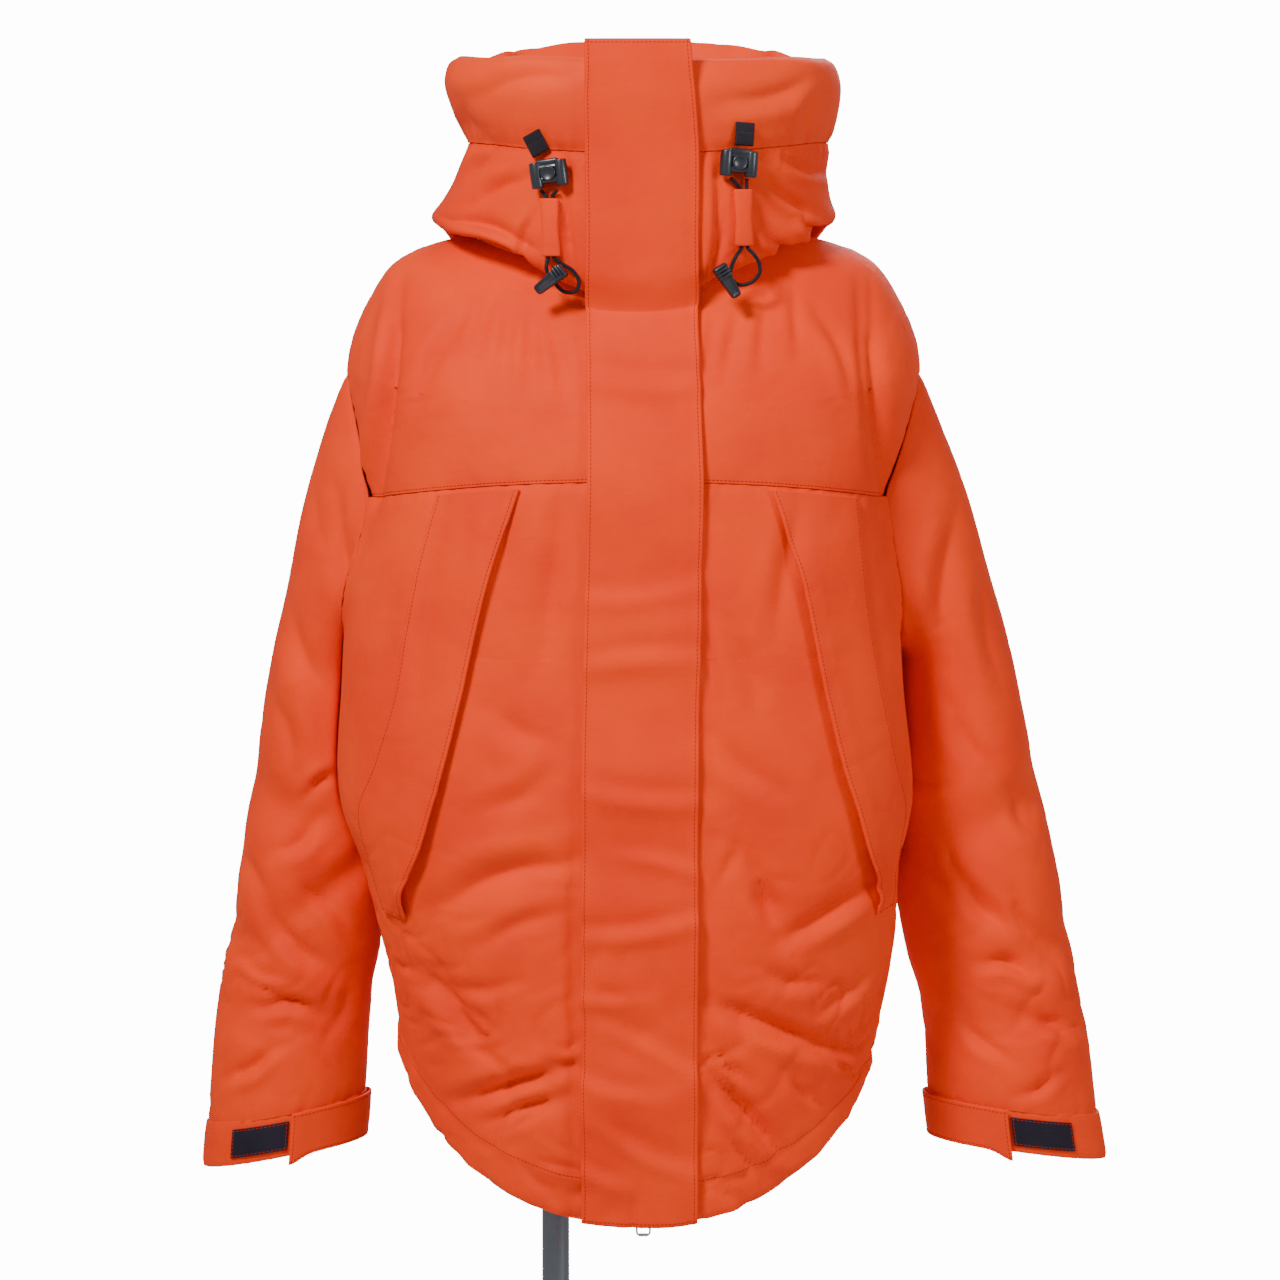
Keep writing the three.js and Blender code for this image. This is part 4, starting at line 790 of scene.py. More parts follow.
def body_panel(name, rows, from_angle, to_angle, length, seams, seed, has_hem):
    angle, r = angle_grid(rows, from_angle, to_angle, length)
    grid, normals = body_surface(angle, r)
    relief = edge_relief(grid, seams, seed)
    if has_hem:
        up = run_length(grid, 0)
        across = run_length(grid, 1)
        relief += (1.1 * MM + 0.4 * MM * ripple(across, seed + 9, 16 * MM)) * np.exp(-(((up - HEM_FACING) / (5 * MM)) ** 2))
        relief += 0.9 * MM * ripple(across, seed + 11, 22 * MM) * np.exp(-up / (20 * MM))
        relief += 1.6 * MM * np.exp(-((up / (3 * MM)) ** 2))
    grid = grid - normals * relief[..., None]
    # The fronts' padding swells over the armhole's edge, where the sleeve is tucked behind it.
    if name.startswith("front_lower"):
        side = -1 if name.endswith("left") else 1
        across = run_length(grid, 1)
        from_edge = across if side < 0 else across[:, -1:] - across
        in_arm = np.clip((rows - ARM["low"] + 0.5) * 3, 0, 1)[:, None]
        grid[..., 0] += side * LIP * np.exp(-((from_edge / (9 * MM)) ** 2)) * in_arm
    if has_hem:
        row = int(np.argmin(np.abs(run_length(grid, 0).mean(axis=1) - HEM_FACING)))
        hem_line[name] = (grid[row], normals[row])
    return grid


body_grids = {}
lower_rows = level_rows(0, YOKE_LEVEL - 0.004, 0.60)
yoke_rows = level_rows(YOKE_LEVEL + 0.004, NECK_LEVEL, 0.27)
for side, name in ((-1, "left"), (1, "right")):
    def centre_edge(r, side=side):
        return side * angle_at_x(BODY, CENTRE, r)

    def outer_edge(r, side=side):
        return side * arm_front(r)

    edges = (centre_edge, outer_edge) if side > 0 else (outer_edge, centre_edge)
    middle, outer = ("left", "right") if side > 0 else ("right", "left")
    for part, rows, length, seam_edges in (
        ("lower", lower_rows, 0.34, {"high": SEWN, outer: SEWN, middle: PRESSED}),
        ("yoke", yoke_rows, 0.28, {"low": PRESSED, "high": PRESSED, outer: SEWN, middle: PRESSED}),
    ):
        label = f"front_{part}_{name}"
        body_grids[label] = body_panel(label, rows, *edges, length, seam_edges, 20 + side, part == "lower")
for part, rows, seam_edges in (
    ("lower", lower_rows, {"high": SEWN, "left": SEWN, "right": SEWN}),
    ("yoke", yoke_rows, {"low": PRESSED, "high": PRESSED, "left": SEWN, "right": SEWN}),
):
    label = f"back_{part}"
    body_grids[label] = body_panel(label, rows, arm_back, lambda r: math.tau - arm_back(r), 0.52, seam_edges, 40,
                                   part == "lower")
for label, grid in body_grids.items():
    piece = shell(label, grid, CLOTH, SHELL, roll=0.0 if "yoke" in label else 0.6 * MM)
    sew_on(piece, grid, "shell_cloth", label)

# %% [markdown]
# A sleeve is one long tube with a cap that starts at the armhole and turns down. Its rings are oval,
# given by where they lie in the front view, with rounded creases at the elbow and above the cuff.

# %% Sleeve tables
RING_COLUMNS = "out_x out_z in_x in_z mid deep"
SLEEVES = {
    "left": table(RING_COLUMNS, [
        (-303, 1066, -212, 1092, 50, 84),
        (-312, 1004, -208, 1026, 49, 80),
        (-320, 945, -205, 966, 46, 76),
        (-329, 890, -205, 912, 43, 72),
        (-340, 833, -210, 856, 39, 67),
        (-347, 775, -218, 800, 35, 61),
        (-350, 712.4, -222, 737.4, 30, 53),
    ]),
    "right": table(RING_COLUMNS, [
        (306, 1066, 207, 1092, 50, 84),
        (320, 1004, 205, 1026, 49, 80),
        (334, 940, 205, 962, 46, 76),
        (345, 886, 206, 908, 43, 72),
        (355, 830, 216, 850, 39, 67),
        (366, 775, 229, 796, 35, 61),
        (371, 719.4, 233, 737.4, 30, 53),
    ]),
}
CUFFS = {
    "left": table(RING_COLUMNS, [
        (-352, 713.9, -221, 738.4, 30, 52),
        (-354, 695, -222, 720, 29, 50),
        (-355, 678, -224, 703, 28, 48),
    ]),
    "right": table(RING_COLUMNS, [
        (373, 720.9, 232, 738.4, 30, 52),
        (376, 702, 234, 720, 29, 50),
        (379, 685, 236, 704, 28, 48),
    ]),
}
RING_SQUARE = 2.15
# Angle round the sleeve from its outer side, ring number, width, depth and tilt of each main crease.
SLEEVE_FOLDS = [
    (60, 1.6, 0.35, 7, 0.5),
    (110, 2.9, 0.32, 7, -0.6),
    (50, 3.6, 0.3, 6, 0.4),
    (85, 4.7, 0.3, 6, 0.3),
    (250, 2.2, 0.34, 8, 0.5),
    (285, 3.6, 0.34, 7, -0.5),
    (240, 4.8, 0.3, 6, 0.3),
]
SLEEVE_CREASES = {
    "left": table(CREASE_COLUMNS, [
        (-244, 1000, -262, 986, 2, 8, 3, 1.5),
        (-296, 890, -250, 846, 6, 12, 4, 2),
        (-262, 905, -232, 872, -4, 9, 3, 1.5),
        (-300, 812, -258, 806, -6, 9, 4, 2),
        (-330, 756, -300, 776, 3, 9, 4, 2),
        (-318, 850, -290, 838, 3, 7, 2.5, 1),
        (-290, 940, -262, 960, 5, 12, 3, 1.2),
        (-322, 935, -300, 905, 0, 12, 2.5, 1),
        (-250, 790, -232, 830, 4, 10, 3, 1.5),
        (-280, 1130, -250, 1070, 6, 16, 3, 1.2),
        (-240, 1220, -226, 1140, 3, 14, 3, 1),
        (-262, 1250, -250, 1180, 4, 16, 2.5, 1),
        (-278, 1010, -296, 1060, 4, 15, 2.5, 1),
    ]),
    "right": table(CREASE_COLUMNS, [
        (204, 998, 238, 992, 3, 9, 3, 1.5),
        (246, 940, 256, 916, 2, 8, 3, 1.5),
        (262, 910, 286, 884, 4, 11, 4, 2),
        (276, 848, 310, 842, -5, 9, 4, 2),
        (224, 812, 240, 770, 3, 10, 4, 2),
        (300, 900, 318, 868, 3, 9, 3, 1.2),
        (318, 800, 344, 790, -3, 9, 3, 1.5),
        (262, 800, 290, 776, 4, 9, 3, 1.5),
        (300, 740, 332, 756, 3, 8, 3, 1.2),
        (250, 1050, 276, 1010, 4, 14, 3, 1),
        (250, 1200, 240, 1110, 4, 15, 3, 1),
        (276, 1160, 288, 1080, 4, 15, 2.5, 1),
        (300, 980, 322, 950, 4, 12, 2.5, 1),
    ]),
}
SLEEVE_BACK_CREASES = table(CREASE_COLUMNS, [
    (230, 900, 290, 872, 5, 13, 5, 2),
    (220, 960, 280, 985, 5, 14, 4, 1.5),
    (260, 840, 330, 812, -5, 12, 4, 2),
    (240, 780, 300, 760, 4, 10, 4, 2),
    (300, 930, 330, 890, 4, 12, 3, 1.5),
    (230, 1080, 270, 1040, 5, 15, 3, 1),
    (240, 1220, 236, 1130, 4, 16, 3, 1),
    (268, 1180, 280, 1090, 4, 15, 3, 1),
])


def ring_point(rows, angle, r, fold=0.0):
    """Angle 0 is the sleeve's outer side and a quarter turn its front."""
    zero = np.zeros(np.broadcast(angle, r).shape)
    mid = column(rows, "mid", r) + zero
    outer = np.stack([column(rows, "out_x", r) + zero, mid, column(rows, "out_z", r) + zero], -1)
    inner = np.stack([column(rows, "in_x", r) + zero, mid, column(rows, "in_z", r) + zero], -1)
    centre, half = (outer + inner) / 2, (outer - inner) / 2
    power = 2 / RING_SQUARE
    c, s = np.cos(angle) + zero, np.sin(angle) + zero
    reach = 1 - fold / np.maximum(np.linalg.norm(half, axis=-1), MM)
    along = (np.sign(c) * np.abs(c) ** power * reach)[..., None]
    deep = -column(rows, "deep", r) * np.sign(s) * np.abs(s) ** power * reach
    return centre + half * along + np.stack([zero, deep, zero], -1)


def sleeve_fold(angle, r):
    total = np.zeros(np.broadcast(angle, r).shape)
    for at, ring, wide, deep, tilt in SLEEVE_FOLDS:
        off = np.degrees(angle) - at
        off = off - 360 * np.round(off / 360)
        across = (r - ring - tilt * off / 60) / wide
        total += deep * MM * np.exp(-(across**2) - (off / 55) ** 2)
    return total


print("sleeve rings:", len(SLEEVES["left"]["mid"]), "and cuff rings:", len(CUFFS["left"]["mid"]))

# %% Keeping a sleeve clear of the body
CLEAR = 1 * MM


def body_side(side):
    """Points of the body's side in a search tree, by depth and height."""
    angle, r = np.meshgrid(side * np.radians(np.linspace(50, 150, 90)), np.linspace(0.5, 7, 200))
    points, _ = body_surface(angle, r)
    points = points.reshape(-1, 3)
    tree = KDTree(len(points))
    for i, (_, y, z) in enumerate(points.tolist()):
        tree.insert((0, y, z), i)
    tree.balance()
    return tree, np.abs(points[:, 0])


def spread_out(values, grow, smooth):
    """Lets a grid's larger values grow outwards, and then smooths it."""
    for turn in range(grow + smooth):
        padded = np.pad(values, 1, mode="edge")
        near = [padded[1 + i : padded.shape[0] - 1 + i, 1 + j : padded.shape[1] - 1 + j]
                for i, j in ((0, 0), (1, 0), (-1, 0), (0, 1), (0, -1))]
        values = np.max(near, axis=0) if turn < grow else np.mean(near, axis=0)
    return values


def clear_of_body(side, grid, tree, reach):
    """Moves a sleeve sideways, smoothly, where it would come too near to the body."""
    push = np.zeros(grid.shape[:2])
    for (i, j), x in np.ndenumerate(np.abs(grid[..., 0])):
        if x > 0.25:
            continue
        near = tree.find_n((0, grid[i, j, 1], grid[i, j, 2]), 6)
        weights = np.array([1 / (n[2] + 1e-3) for n in near])
        least = float((reach[[n[1] for n in near]] * weights).sum() / weights.sum()) + CLEAR
        close = np.clip(2 - near[0][2] / (15 * MM), 0, 1)
        push[i, j] = max(least - x, 0) * close
    first = push[0].copy()
    push = spread_out(push, 1, 8)
    push[0] = first
    grid = grid.copy()
    grid[..., 0] += side * push
    return grid


# %% Sleeves
CAP_ROWS = 72
UNDERARM = math.radians(188)  # where the sleeve's own seam runs
CUFF_FADE = 22 * MM  # creases end this far above the cuff, so the sleeve's end stays on it


def arm_loop(side, angle):
    r = ARM_MIDDLE + ARM_HALF * np.cos(angle)
    edge = side * np.where(np.sin(angle) >= 0, arm_front(r), arm_back(r))
    return body_surface(edge, r)


def sleeve_grid(side, name):
    rows = SLEEVES[name]
    angles = UNDERARM + 0.002 + (math.tau - 0.004) * edge_spaced(0.47)
    start, n = arm_loop(side, angles)
    end = ring_point(rows, angles, 0.0)
    gap = np.linalg.norm(start - end, axis=-1, keepdims=True)
    leave = unit(np.array([side * 0.14, 0.02, -0.95]) + 0.25 * n) * gap
    arrive = np.array([side * 0.22, -0.02, -0.97]) * gap
    low = np.maximum(-np.cos(angles), 0)[:, None]
    t = np.concatenate([[0.0], np.linspace(0, 1, CAP_ROWS)[1:-1]])[:, None, None]
    cap = start * (2 * t**3 - 3 * t**2 + 1) + leave * (t**3 - 2 * t**2 + t) + end * (3 * t**2 - 2 * t**3) + arrive * (t**3 - t**2)
    away = unit(unit(cap[1] - cap[0]) + np.array([side, 0, 0]) * low)
    cap[0] = cap[0] + away * (1.0 + 4 * low) * SEAM
    r = (len(rows["mid"]) - 1) * edge_spaced(0.37)[3:]
    r = np.concatenate([[0.0], r])[:, None]
    fold = sleeve_fold(angles[None, :], r)
    tube = ring_point(rows, angles[None, :], r, fold)
    return angles, np.concatenate([cap, tube]), low


def dress_sleeve(side, name):
    angles, grid, low = sleeve_grid(side, name)
    grid = clear_of_body(side, grid, *body_side(side))
    if side < 0:
        grid, low = grid[:, ::-1], low[::-1]
    normals = grid_normals(grid)
    facing = normals[..., 1]
    front = crease_depth(SLEEVE_CREASES[name], grid) * np.clip(-facing * 2, 0, 1)
    mirrored = grid * np.array([side, 1, 1])
    back = crease_depth(SLEEVE_BACK_CREASES, mirrored) * np.clip(facing * 2, 0, 1)
    along = run_length(grid, 0)
    to_cuff = np.clip((along[-1:] - along) / CUFF_FADE, 0, 1)
    fade = np.clip(along / (40 * MM), 0, 1) * (1 - 0.8 * low[None, :, 0]) * to_cuff
    low_part = np.clip((1.02 - grid[..., 2]) / 0.2, 0.14, 1)
    small = 0.8 * CRUMPLED * crumple(grid, low_part)
    depth = (front + back + small - 1.5 * MM * swell(grid)) * fade
    seams = {"low": (1.2 * MM, 5 * MM, 0.5 * MM), "high": (0.7 * MM, 4 * MM, 0.5 * MM),
             "left": PRESSED, "right": PRESSED}
    depth += edge_relief(grid, seams, 60 + side)
    grid = grid - normals * depth[..., None]
    normals = grid_normals(grid)
    towards = np.array([-side, 0, 0])
    steps = np.linspace(0, 1, CAP_ROWS - 1)[:, None, None]
    mixed = normals[: CAP_ROWS - 1] * (1 - low**0.5 * (1 - steps)) + towards * low**0.5 * (1 - steps)
    normals[: CAP_ROWS - 1] = unit(mixed)
    thick = CLOTH * (0.4 + 0.6 * np.clip(along / (50 * MM), 0, 1))
    piece = shell(f"sleeve_{name}", grid, thick, SHELL, facing=normals)
    return sew_on(piece, grid, "shell_cloth", f"sleeve_{name}"), grid


sleeve_pieces = {}
for side, name in ((-1, "left"), (1, "right")):
    sleeve_pieces[name] = dress_sleeve(side, name)

# %% [markdown]
# The cuff is a short plain tube. A pointed tab lies on its inner half and a patch of black hook tape
# shows on the outer half, where the tab would be pressed on to close the cuff more tightly.


# %% Cuffs, tabs and hook patches
def cuff_surface(side, name, angle, r):
    step = 0.03
    points = ring_point(CUFFS[name], angle, r)
    around = ring_point(CUFFS[name], angle + step, r) - ring_point(CUFFS[name], angle - step, r)
    along = ring_point(CUFFS[name], angle, r + step) - ring_point(CUFFS[name], angle, r - step)
    return points, unit(np.cross(around, along)) * side


def cuff_grid(side, name, from_angle, to_angle, top, bottom, length, height, lift):
    angle = np.radians(from_angle) + np.radians(to_angle - from_angle) * edge_spaced(length, 3.4 * MM)
    r = top + (bottom - top) * edge_spaced(height, 3.4 * MM)
    points, normals = cuff_surface(side, name, angle[None, :], r[:, None])
    grid = points + normals * lift
    return grid[:, ::-1] if side < 0 else grid


TAB_PROUD = 2.5 * MM
TAB_DROP = 6 * MM
cuff_grids = {}
for side, name in ((-1, "left"), (1, "right")):
    grid = cuff_grid(side, name, 188.2, 547.8, 0.0, 2.0, 0.42, 0.036, 0.0)
    relief = edge_relief(grid, {"low": (0.4 * MM, 3 * MM, 0.3 * MM), "high": (0.8 * MM, 2 * MM, 0.3 * MM)}, 80 + side)
    grid = grid - grid_normals(grid) * relief[..., None]
    piece = shell(f"cuff_{name}", grid, CLOTH, SHELL, roll=0.5 * MM)
    sew_on(piece, grid, "shell_cloth", f"cuff_{name}")
    tab = cuff_grid(side, name, 96, 205, 0.03, 1.98, 0.13, 0.034, 3.3 * MM)
    along = run_length(tab, 1)
    from_front = along[:, -1:] - along if side < 0 else along
    at_front = np.exp(-((from_front / (12 * MM)) ** 2))
    tab = tab + grid_normals(tab) * (TAB_PROUD * at_front)[..., None]
    tab[..., 2] -= TAB_DROP * at_front * np.linspace(0, 1, tab.shape[0])[:, None]
    piece = shell(f"cuff_tab_{name}", tab, 2.4 * MM, PANEL, roll=0.6 * MM)
    sew_on(piece, tab, "shell_cloth", f"cuff_tab_{name}")
    patch = cuff_grid(side, name, 55, 94, 0.35, 1.62, 0.045, 0.022, 1.9 * MM)
    piece = shell(f"hook_patch_{name}", patch, 1.6 * MM, HOOKS, roll=0.3 * MM)
    sew_on(piece, patch, "hook_tape", f"hook_patch_{name}")
    cuff_grids[name] = {"cuff": grid, "tab": tab, "patch": patch}

# %% [markdown]
# The hood is worn down. Its lower band rolls out over the shoulders, its upper band stands up like a
# funnel, and the crown hangs behind as an open pouch. Where the crown is sewn to the sides the rim
# folds in sharply, and the lower band has long soft folds that run down to the drawcords.

# %% Hood creases
HOOD_CREASES = table(CREASE_COLUMNS, [
    (-150, 1440, -92, 1420, -6, 9, 4, 2),
    (-140, 1424, -84, 1398, -5, 8, 4, 2),
    (-92, 1470, -128, 1454, 3, 9, 2.5, 1),
    (-58, 1456, -52, 1402, 2, 6, 3, 1.5),
    (-84, 1440, -92, 1410, 3, 6, 2.5, 1),
    (-60, 1488, -52, 1470, 0, 5, 2, 1),
    (-118, 1488, -138, 1470, 2, 8, 2, 1),
    (60, 1470, 56, 1398, -2, 6, 3, 1.5),
    (96, 1476, 138, 1446, 4, 8, 3.5, 2),
    (128, 1448, 146, 1424, 3, 8, 4.5, 2),
    (92, 1444, 128, 1406, 5, 8, 3, 1.5),
    (104, 1410, 134, 1396, 3, 7, 3, 1.5),
    (66, 1440, 60, 1404, 0, 6, 2, 1),
    (110, 1488, 148, 1478, 3, 8, 2.5, 1),
    (-60, 1548, -120, 1536, 6, 12, 2, 1),
    (70, 1530, 130, 1548, 5, 12, 2, 1),
    (-140, 1530, -124, 1506, 4, 10, 2, 1),
    (140, 1536, 128, 1508, 4, 10, 2, 1),
])
HOOD_BACK_CREASES = table(CREASE_COLUMNS, [
    (-110, 1392, -30, 1368, 8, 14, 5, 2),
    (20, 1380, 110, 1402, 8, 14, 5, 2),
    (-90, 1440, -20, 1420, 6, 14, 4, 2),
    (40, 1450, 110, 1428, 6, 14, 4, 2),
    (-60, 1520, -20, 1470, 5, 14, 4, 1.5),
    (50, 1530, 76, 1480, 5, 14, 4, 1.5),
    (-10, 1560, 4, 1500, 4, 12, 3, 1),
])
BACK_SEAM = {"side": math.radians(127.8), "crown": math.radians(128.25)}
RIM_FOLDS = ((-128, 7, 9), (128, 7, 9), (-98, 7, 3), (104, 8, 3), (-160, 9, 3), (172, 9, 3), (150, 8, 3))


def hood_surface(angle, r):
    points = level_point(HOOD, angle, r)
    normals = level_normal(HOOD, angle, r)
    depth = np.where(np.cos(angle) > 0, crease_depth(HOOD_CREASES, points), crease_depth(HOOD_BACK_CREASES, points))
    depth = depth * np.clip(np.abs(np.cos(angle)) * 4, 0, 1) - 1.6 * MM * swell(points * 1.4)
    for at, wide, deep in RIM_FOLDS:
        off = (np.degrees(angle) - at + 180) % 360 - 180
        depth = depth + deep * MM * np.exp(-((off / wide) ** 2)) * np.clip((r - 8) / 2.4, 0, 1) ** 2
    depth = depth * np.clip(r / 0.8, 0, 1)
    return points - normals * depth[..., None], normals


def hood_panel(name, rows, from_angle, to_angle, length, seams, material, slot, seed):
    angle, r = angle_grid(rows, from_angle, to_angle, length, HOOD)
    grid, normals = hood_surface(angle, r)
    grid = grid - normals * edge_relief(grid, seams, seed)[..., None]
    piece = shell(name, grid, HOOD_CLOTH, material, roll=0.4 * MM)
    sew_on(piece, grid, slot, name)
    return grid


# %% Hood panels
roll_rows = (HOOD_SEAM_LEVEL - 0.02) * edge_spaced(0.30)
band_rows = HOOD_SEAM_LEVEL + 0.02 + (RIM_LEVEL - HOOD_SEAM_LEVEL - 0.02) * edge_spaced(0.095, 3.2 * MM)
crown_rows = np.concatenate([roll_rows[:-3], band_rows[3:]])
hood_grids = {}
for side, name in ((-1, "left"), (1, "right")):
    def centre_edge(r, side=side):
        return side * angle_at_x(HOOD, CENTRE, r)

    def back_edge(r, side=side):
        return side * BACK_SEAM["side"] + 0 * r

    edges = (centre_edge, back_edge) if side > 0 else (back_edge, centre_edge)
    middle, behind = ("left", "right") if side > 0 else ("right", "left")
    hood_grids[f"lower_{name}"] = hood_panel(
        f"hood_lower_{name}", roll_rows, *edges, 0.43,
        {"high": (1.9 * MM, 4.5 * MM, 0.8 * MM), "low": PRESSED, behind: SEWN, middle: PRESSED},
        SHELL, "shell_cloth", 90 + side)
    hood_grids[f"band_{name}"] = hood_panel(
        f"hood_band_{name}", band_rows, *edges, 0.43,
        {"low": (1.9 * MM, 4.5 * MM, 0.8 * MM), behind: SEWN, middle: PRESSED},
        COLLAR, "collar_cloth", 94 + side)
hood_grids["crown"] = hood_panel(
    "hood_crown", crown_rows, lambda r: BACK_SEAM["crown"] + 0 * r,
    lambda r: math.tau - BACK_SEAM["crown"] + 0 * r, 0.44, {"left": SEWN, "right": SEWN, "low": PRESSED},
    SHELL, "shell_cloth", 99)

# %% Facing inside the rim
facing_angle, facing_r = np.meshgrid(
    math.radians(14) + math.radians(332) * edge_spaced(0.85, 4 * MM), (len(FACING["left"]) - 1) * edge_spaced(0.07))
facing_grid = level_point(FACING, facing_angle, facing_r)
facing_normal = level_normal(FACING, facing_angle, facing_r)
facing_relief = 1.2 * MM * np.abs(swell(facing_grid * 1.8))
for at, wide, deep in RIM_FOLDS:
    off = (np.degrees(facing_angle) - at + 180) % 360 - 180
    facing_relief += deep * MM * np.exp(-((off / wide) ** 2)) * np.clip(facing_r / 2.5, 0, 1) ** 2
facing_grid = facing_grid - facing_normal * facing_relief[..., None]
piece = shell("hood_facing", facing_grid, 3 * MM, COLLAR, roll=0.6 * MM)
sew_on(piece, facing_grid, "collar_cloth", "hood_facing")

# %% [markdown]
# The storm placket is a wide strip over the zip, from hem to rim. It lies on the body's and the
# hood's own surfaces, a little above them, and bows out in soft waves where it is not pressed down.

# %% Placket
PLACKET = table("z left right", [
    (660, -44.2, 43.5),
    (840, -44.1, 43.3),
    (1040, -43.9, 43.9),
    (1238, -39.2, 47.6),
    (1362, -40.6, 43.7),
    (1498, -40.5, 43.6),
    (1578, -42, 38),
])
PLACKET_LIFT = 0.5 * MM
PLACKET_THICK = 3 * MM
PLACKET_TOPS = ((1.560, -0.1445), (1.576, -0.143))
# Height, reach up and down, and depth of each soft wave, from hem to collar.
PLACKET_WAVES = (
    (690, 16, 1.6, 5), (722, 14, -1.2, -8), (760, 20, 1.8, 6), (806, 22, -1.4, -6), (850, 24, 1.6, 8),
    (905, 20, 2.0, -8), (958, 26, -1.4, 6), (1010, 24, 1.8, 9), (1066, 26, -1.2, -6), (1118, 20, 2.0, 7),
    (1170, 26, -1.6, -9), (1232, 24, 1.4, 5), (1300, 30, -1.5, 8), (1370, 28, 1.6, 12), (1440, 30, -1.2, -8),
)


PLACKET_CREASES = table(CREASE_COLUMNS, [
    (-46, 898, 42, 911, 4, 11, 1.3, 1.6),
    (-46, 849, -4, 847, 2, 9, 0.9, 1.2),
    (-20, 823, 44, 788, -3, 10, 1.3, 1.6),
    (-26, 746, 36, 712, 3, 10, 1.3, 1.6),
    (-46, 786, 8, 772, 4, 10, 1.0, 1.2),
    (-46, 716, -12, 700, 2, 9, 1.0, 1.2),
    (-40, 1012, 46, 1004, 4, 12, 1.0, 1.4),
    (-44, 1108, 46, 1114, -3, 13, 1.0, 1.4),
    (-44, 1160, 48, 1172, 4, 13, 0.9, 1.3),
    (-10, 960, 46, 946, -3, 10, 0.8, 1.2),
    (-42, 1330, 44, 1324, 4, 13, 0.8, 1.2),
])


def placket_wave(points):
    x, z = points[..., 0], points[..., 2]
    total = np.zeros_like(x)
    for height, reach, deep, tilt in PLACKET_WAVES:
        off = z - height * MM - tilt * MM * x / (40 * MM)
        total += deep * MM * np.exp(-((off / (reach * MM)) ** 2))
    return total


def strip_row(kind, r, xs):
    if kind == "body":
        angle = angle_at_x(BODY, xs, np.full_like(xs, r))
        return body_surface(angle, np.full_like(xs, r))
    angle = angle_at_x(HOOD, xs, np.full_like(xs, r))
    return hood_surface(angle, np.full_like(xs, r))


def front_strip(edges, shares, out):
    """A strip up the centre front, from the hem to the rim, held off the cloth under it."""
    levels = [("body", r) for r in np.linspace(0, 10.6, 210)] + [("hood", r) for r in np.linspace(2, 9, 40)]
    grid, normals = [], []
    for kind, r in levels:
        rows = BODY if kind == "body" else HOOD
        left, right = edges(float(column(rows, "z_front", r)))
        points, n = strip_row(kind, r, left + (right - left) * shares)
        grid.append(points + n * out)
        normals.append(n)
    return np.array(grid), np.array(normals)


def placket_edges(z):
    return np.interp(z, PLACKET["z"], PLACKET["left"]), np.interp(z, PLACKET["z"], PLACKET["right"])


placket_shares = edge_spaced(0.087, 3.6 * MM)
placket_grid, placket_normals = front_strip(placket_edges, placket_shares, PLACKET_LIFT + PLACKET_THICK)
top_rows = []
last_row = placket_grid[-1]
for k, z in enumerate(np.linspace(last_row[:, 2].mean(), PLACKET_TOPS[1][0], 12)[1:]):
    left, right = placket_edges(z)
    xs = left + (right - left) * placket_shares
    y = np.interp(z, [last_row[:, 2].mean(), *(t[0] for t in PLACKET_TOPS)],
                  [0, *(t[1] - PLACKET_LIFT - PLACKET_THICK for t in PLACKET_TOPS)])
    share = (z - last_row[:, 2].mean()) / (PLACKET_TOPS[0][0] - last_row[:, 2].mean())
    top_y = PLACKET_TOPS[0][1] - PLACKET_LIFT - PLACKET_THICK
    row_y = last_row[:, 1] + (top_y - last_row[:, 1]) * min(share, 1)
    top_rows.append(np.stack([xs, row_y if share < 1 else np.full_like(xs, y), np.full_like(xs, z)], -1))
placket_grid = np.concatenate([placket_grid, np.array(top_rows)])
# The seam line of the collar and the neck bumps are smoothed away under the strip.
for _ in range(6):
    placket_grid[1:-1] = (placket_grid[:-2] + 2 * placket_grid[1:-1] + placket_grid[2:]) / 4
placket_facing = grid_normals(placket_grid)
wave = placket_wave(placket_grid)
bow = np.maximum(wave - crease_depth(PLACKET_CREASES, placket_grid), -2.2 * MM) + 2.2 * MM
placket_grid = placket_grid + placket_facing * bow[..., None]
across = run_length(placket_grid, 1)
from_edge = np.minimum(across, across[:, -1:] - across)
press = 0.7 * MM * np.exp(-(((from_edge - 6 * MM) / (2.2 * MM)) ** 2))
placket_grid = placket_grid - placket_facing * press[..., None]
piece = shell("storm_placket", placket_grid, PLACKET_THICK, PANEL, roll=1.0 * MM)
sew_on(piece, placket_grid, "overlay_cloth", "storm_placket")

# %% [markdown]
# Each pocket is covered by a slanted panel. Its edge towards the centre is free and stands a little
# proud, so a dark line shows under it, and the other edges are stitched down.

# %% Pocket panels
POCKET_LIFT = 5 * MM
POCKET_ROWS = {
    "left": [
        (6.95, -93, -155), (6.2, -112, -171), (5.55, -126, -181), (4.95, -137, -189), (4.4, -148.5, -204),
        (3.95, -158.5, -218), (3.5, -167, -215), (3.0, -178, -208), (2.55, -183, -200),
    ],
    "right": [
        (6.95, 101, 166), (6.2, 120, 173), (5.55, 132, 180), (4.95, 142, 187), (4.4, 153, 197),
        (3.95, 164, 205), (3.5, 171, 203), (3.0, 179, 199), (2.55, 184, 196),
    ],
}


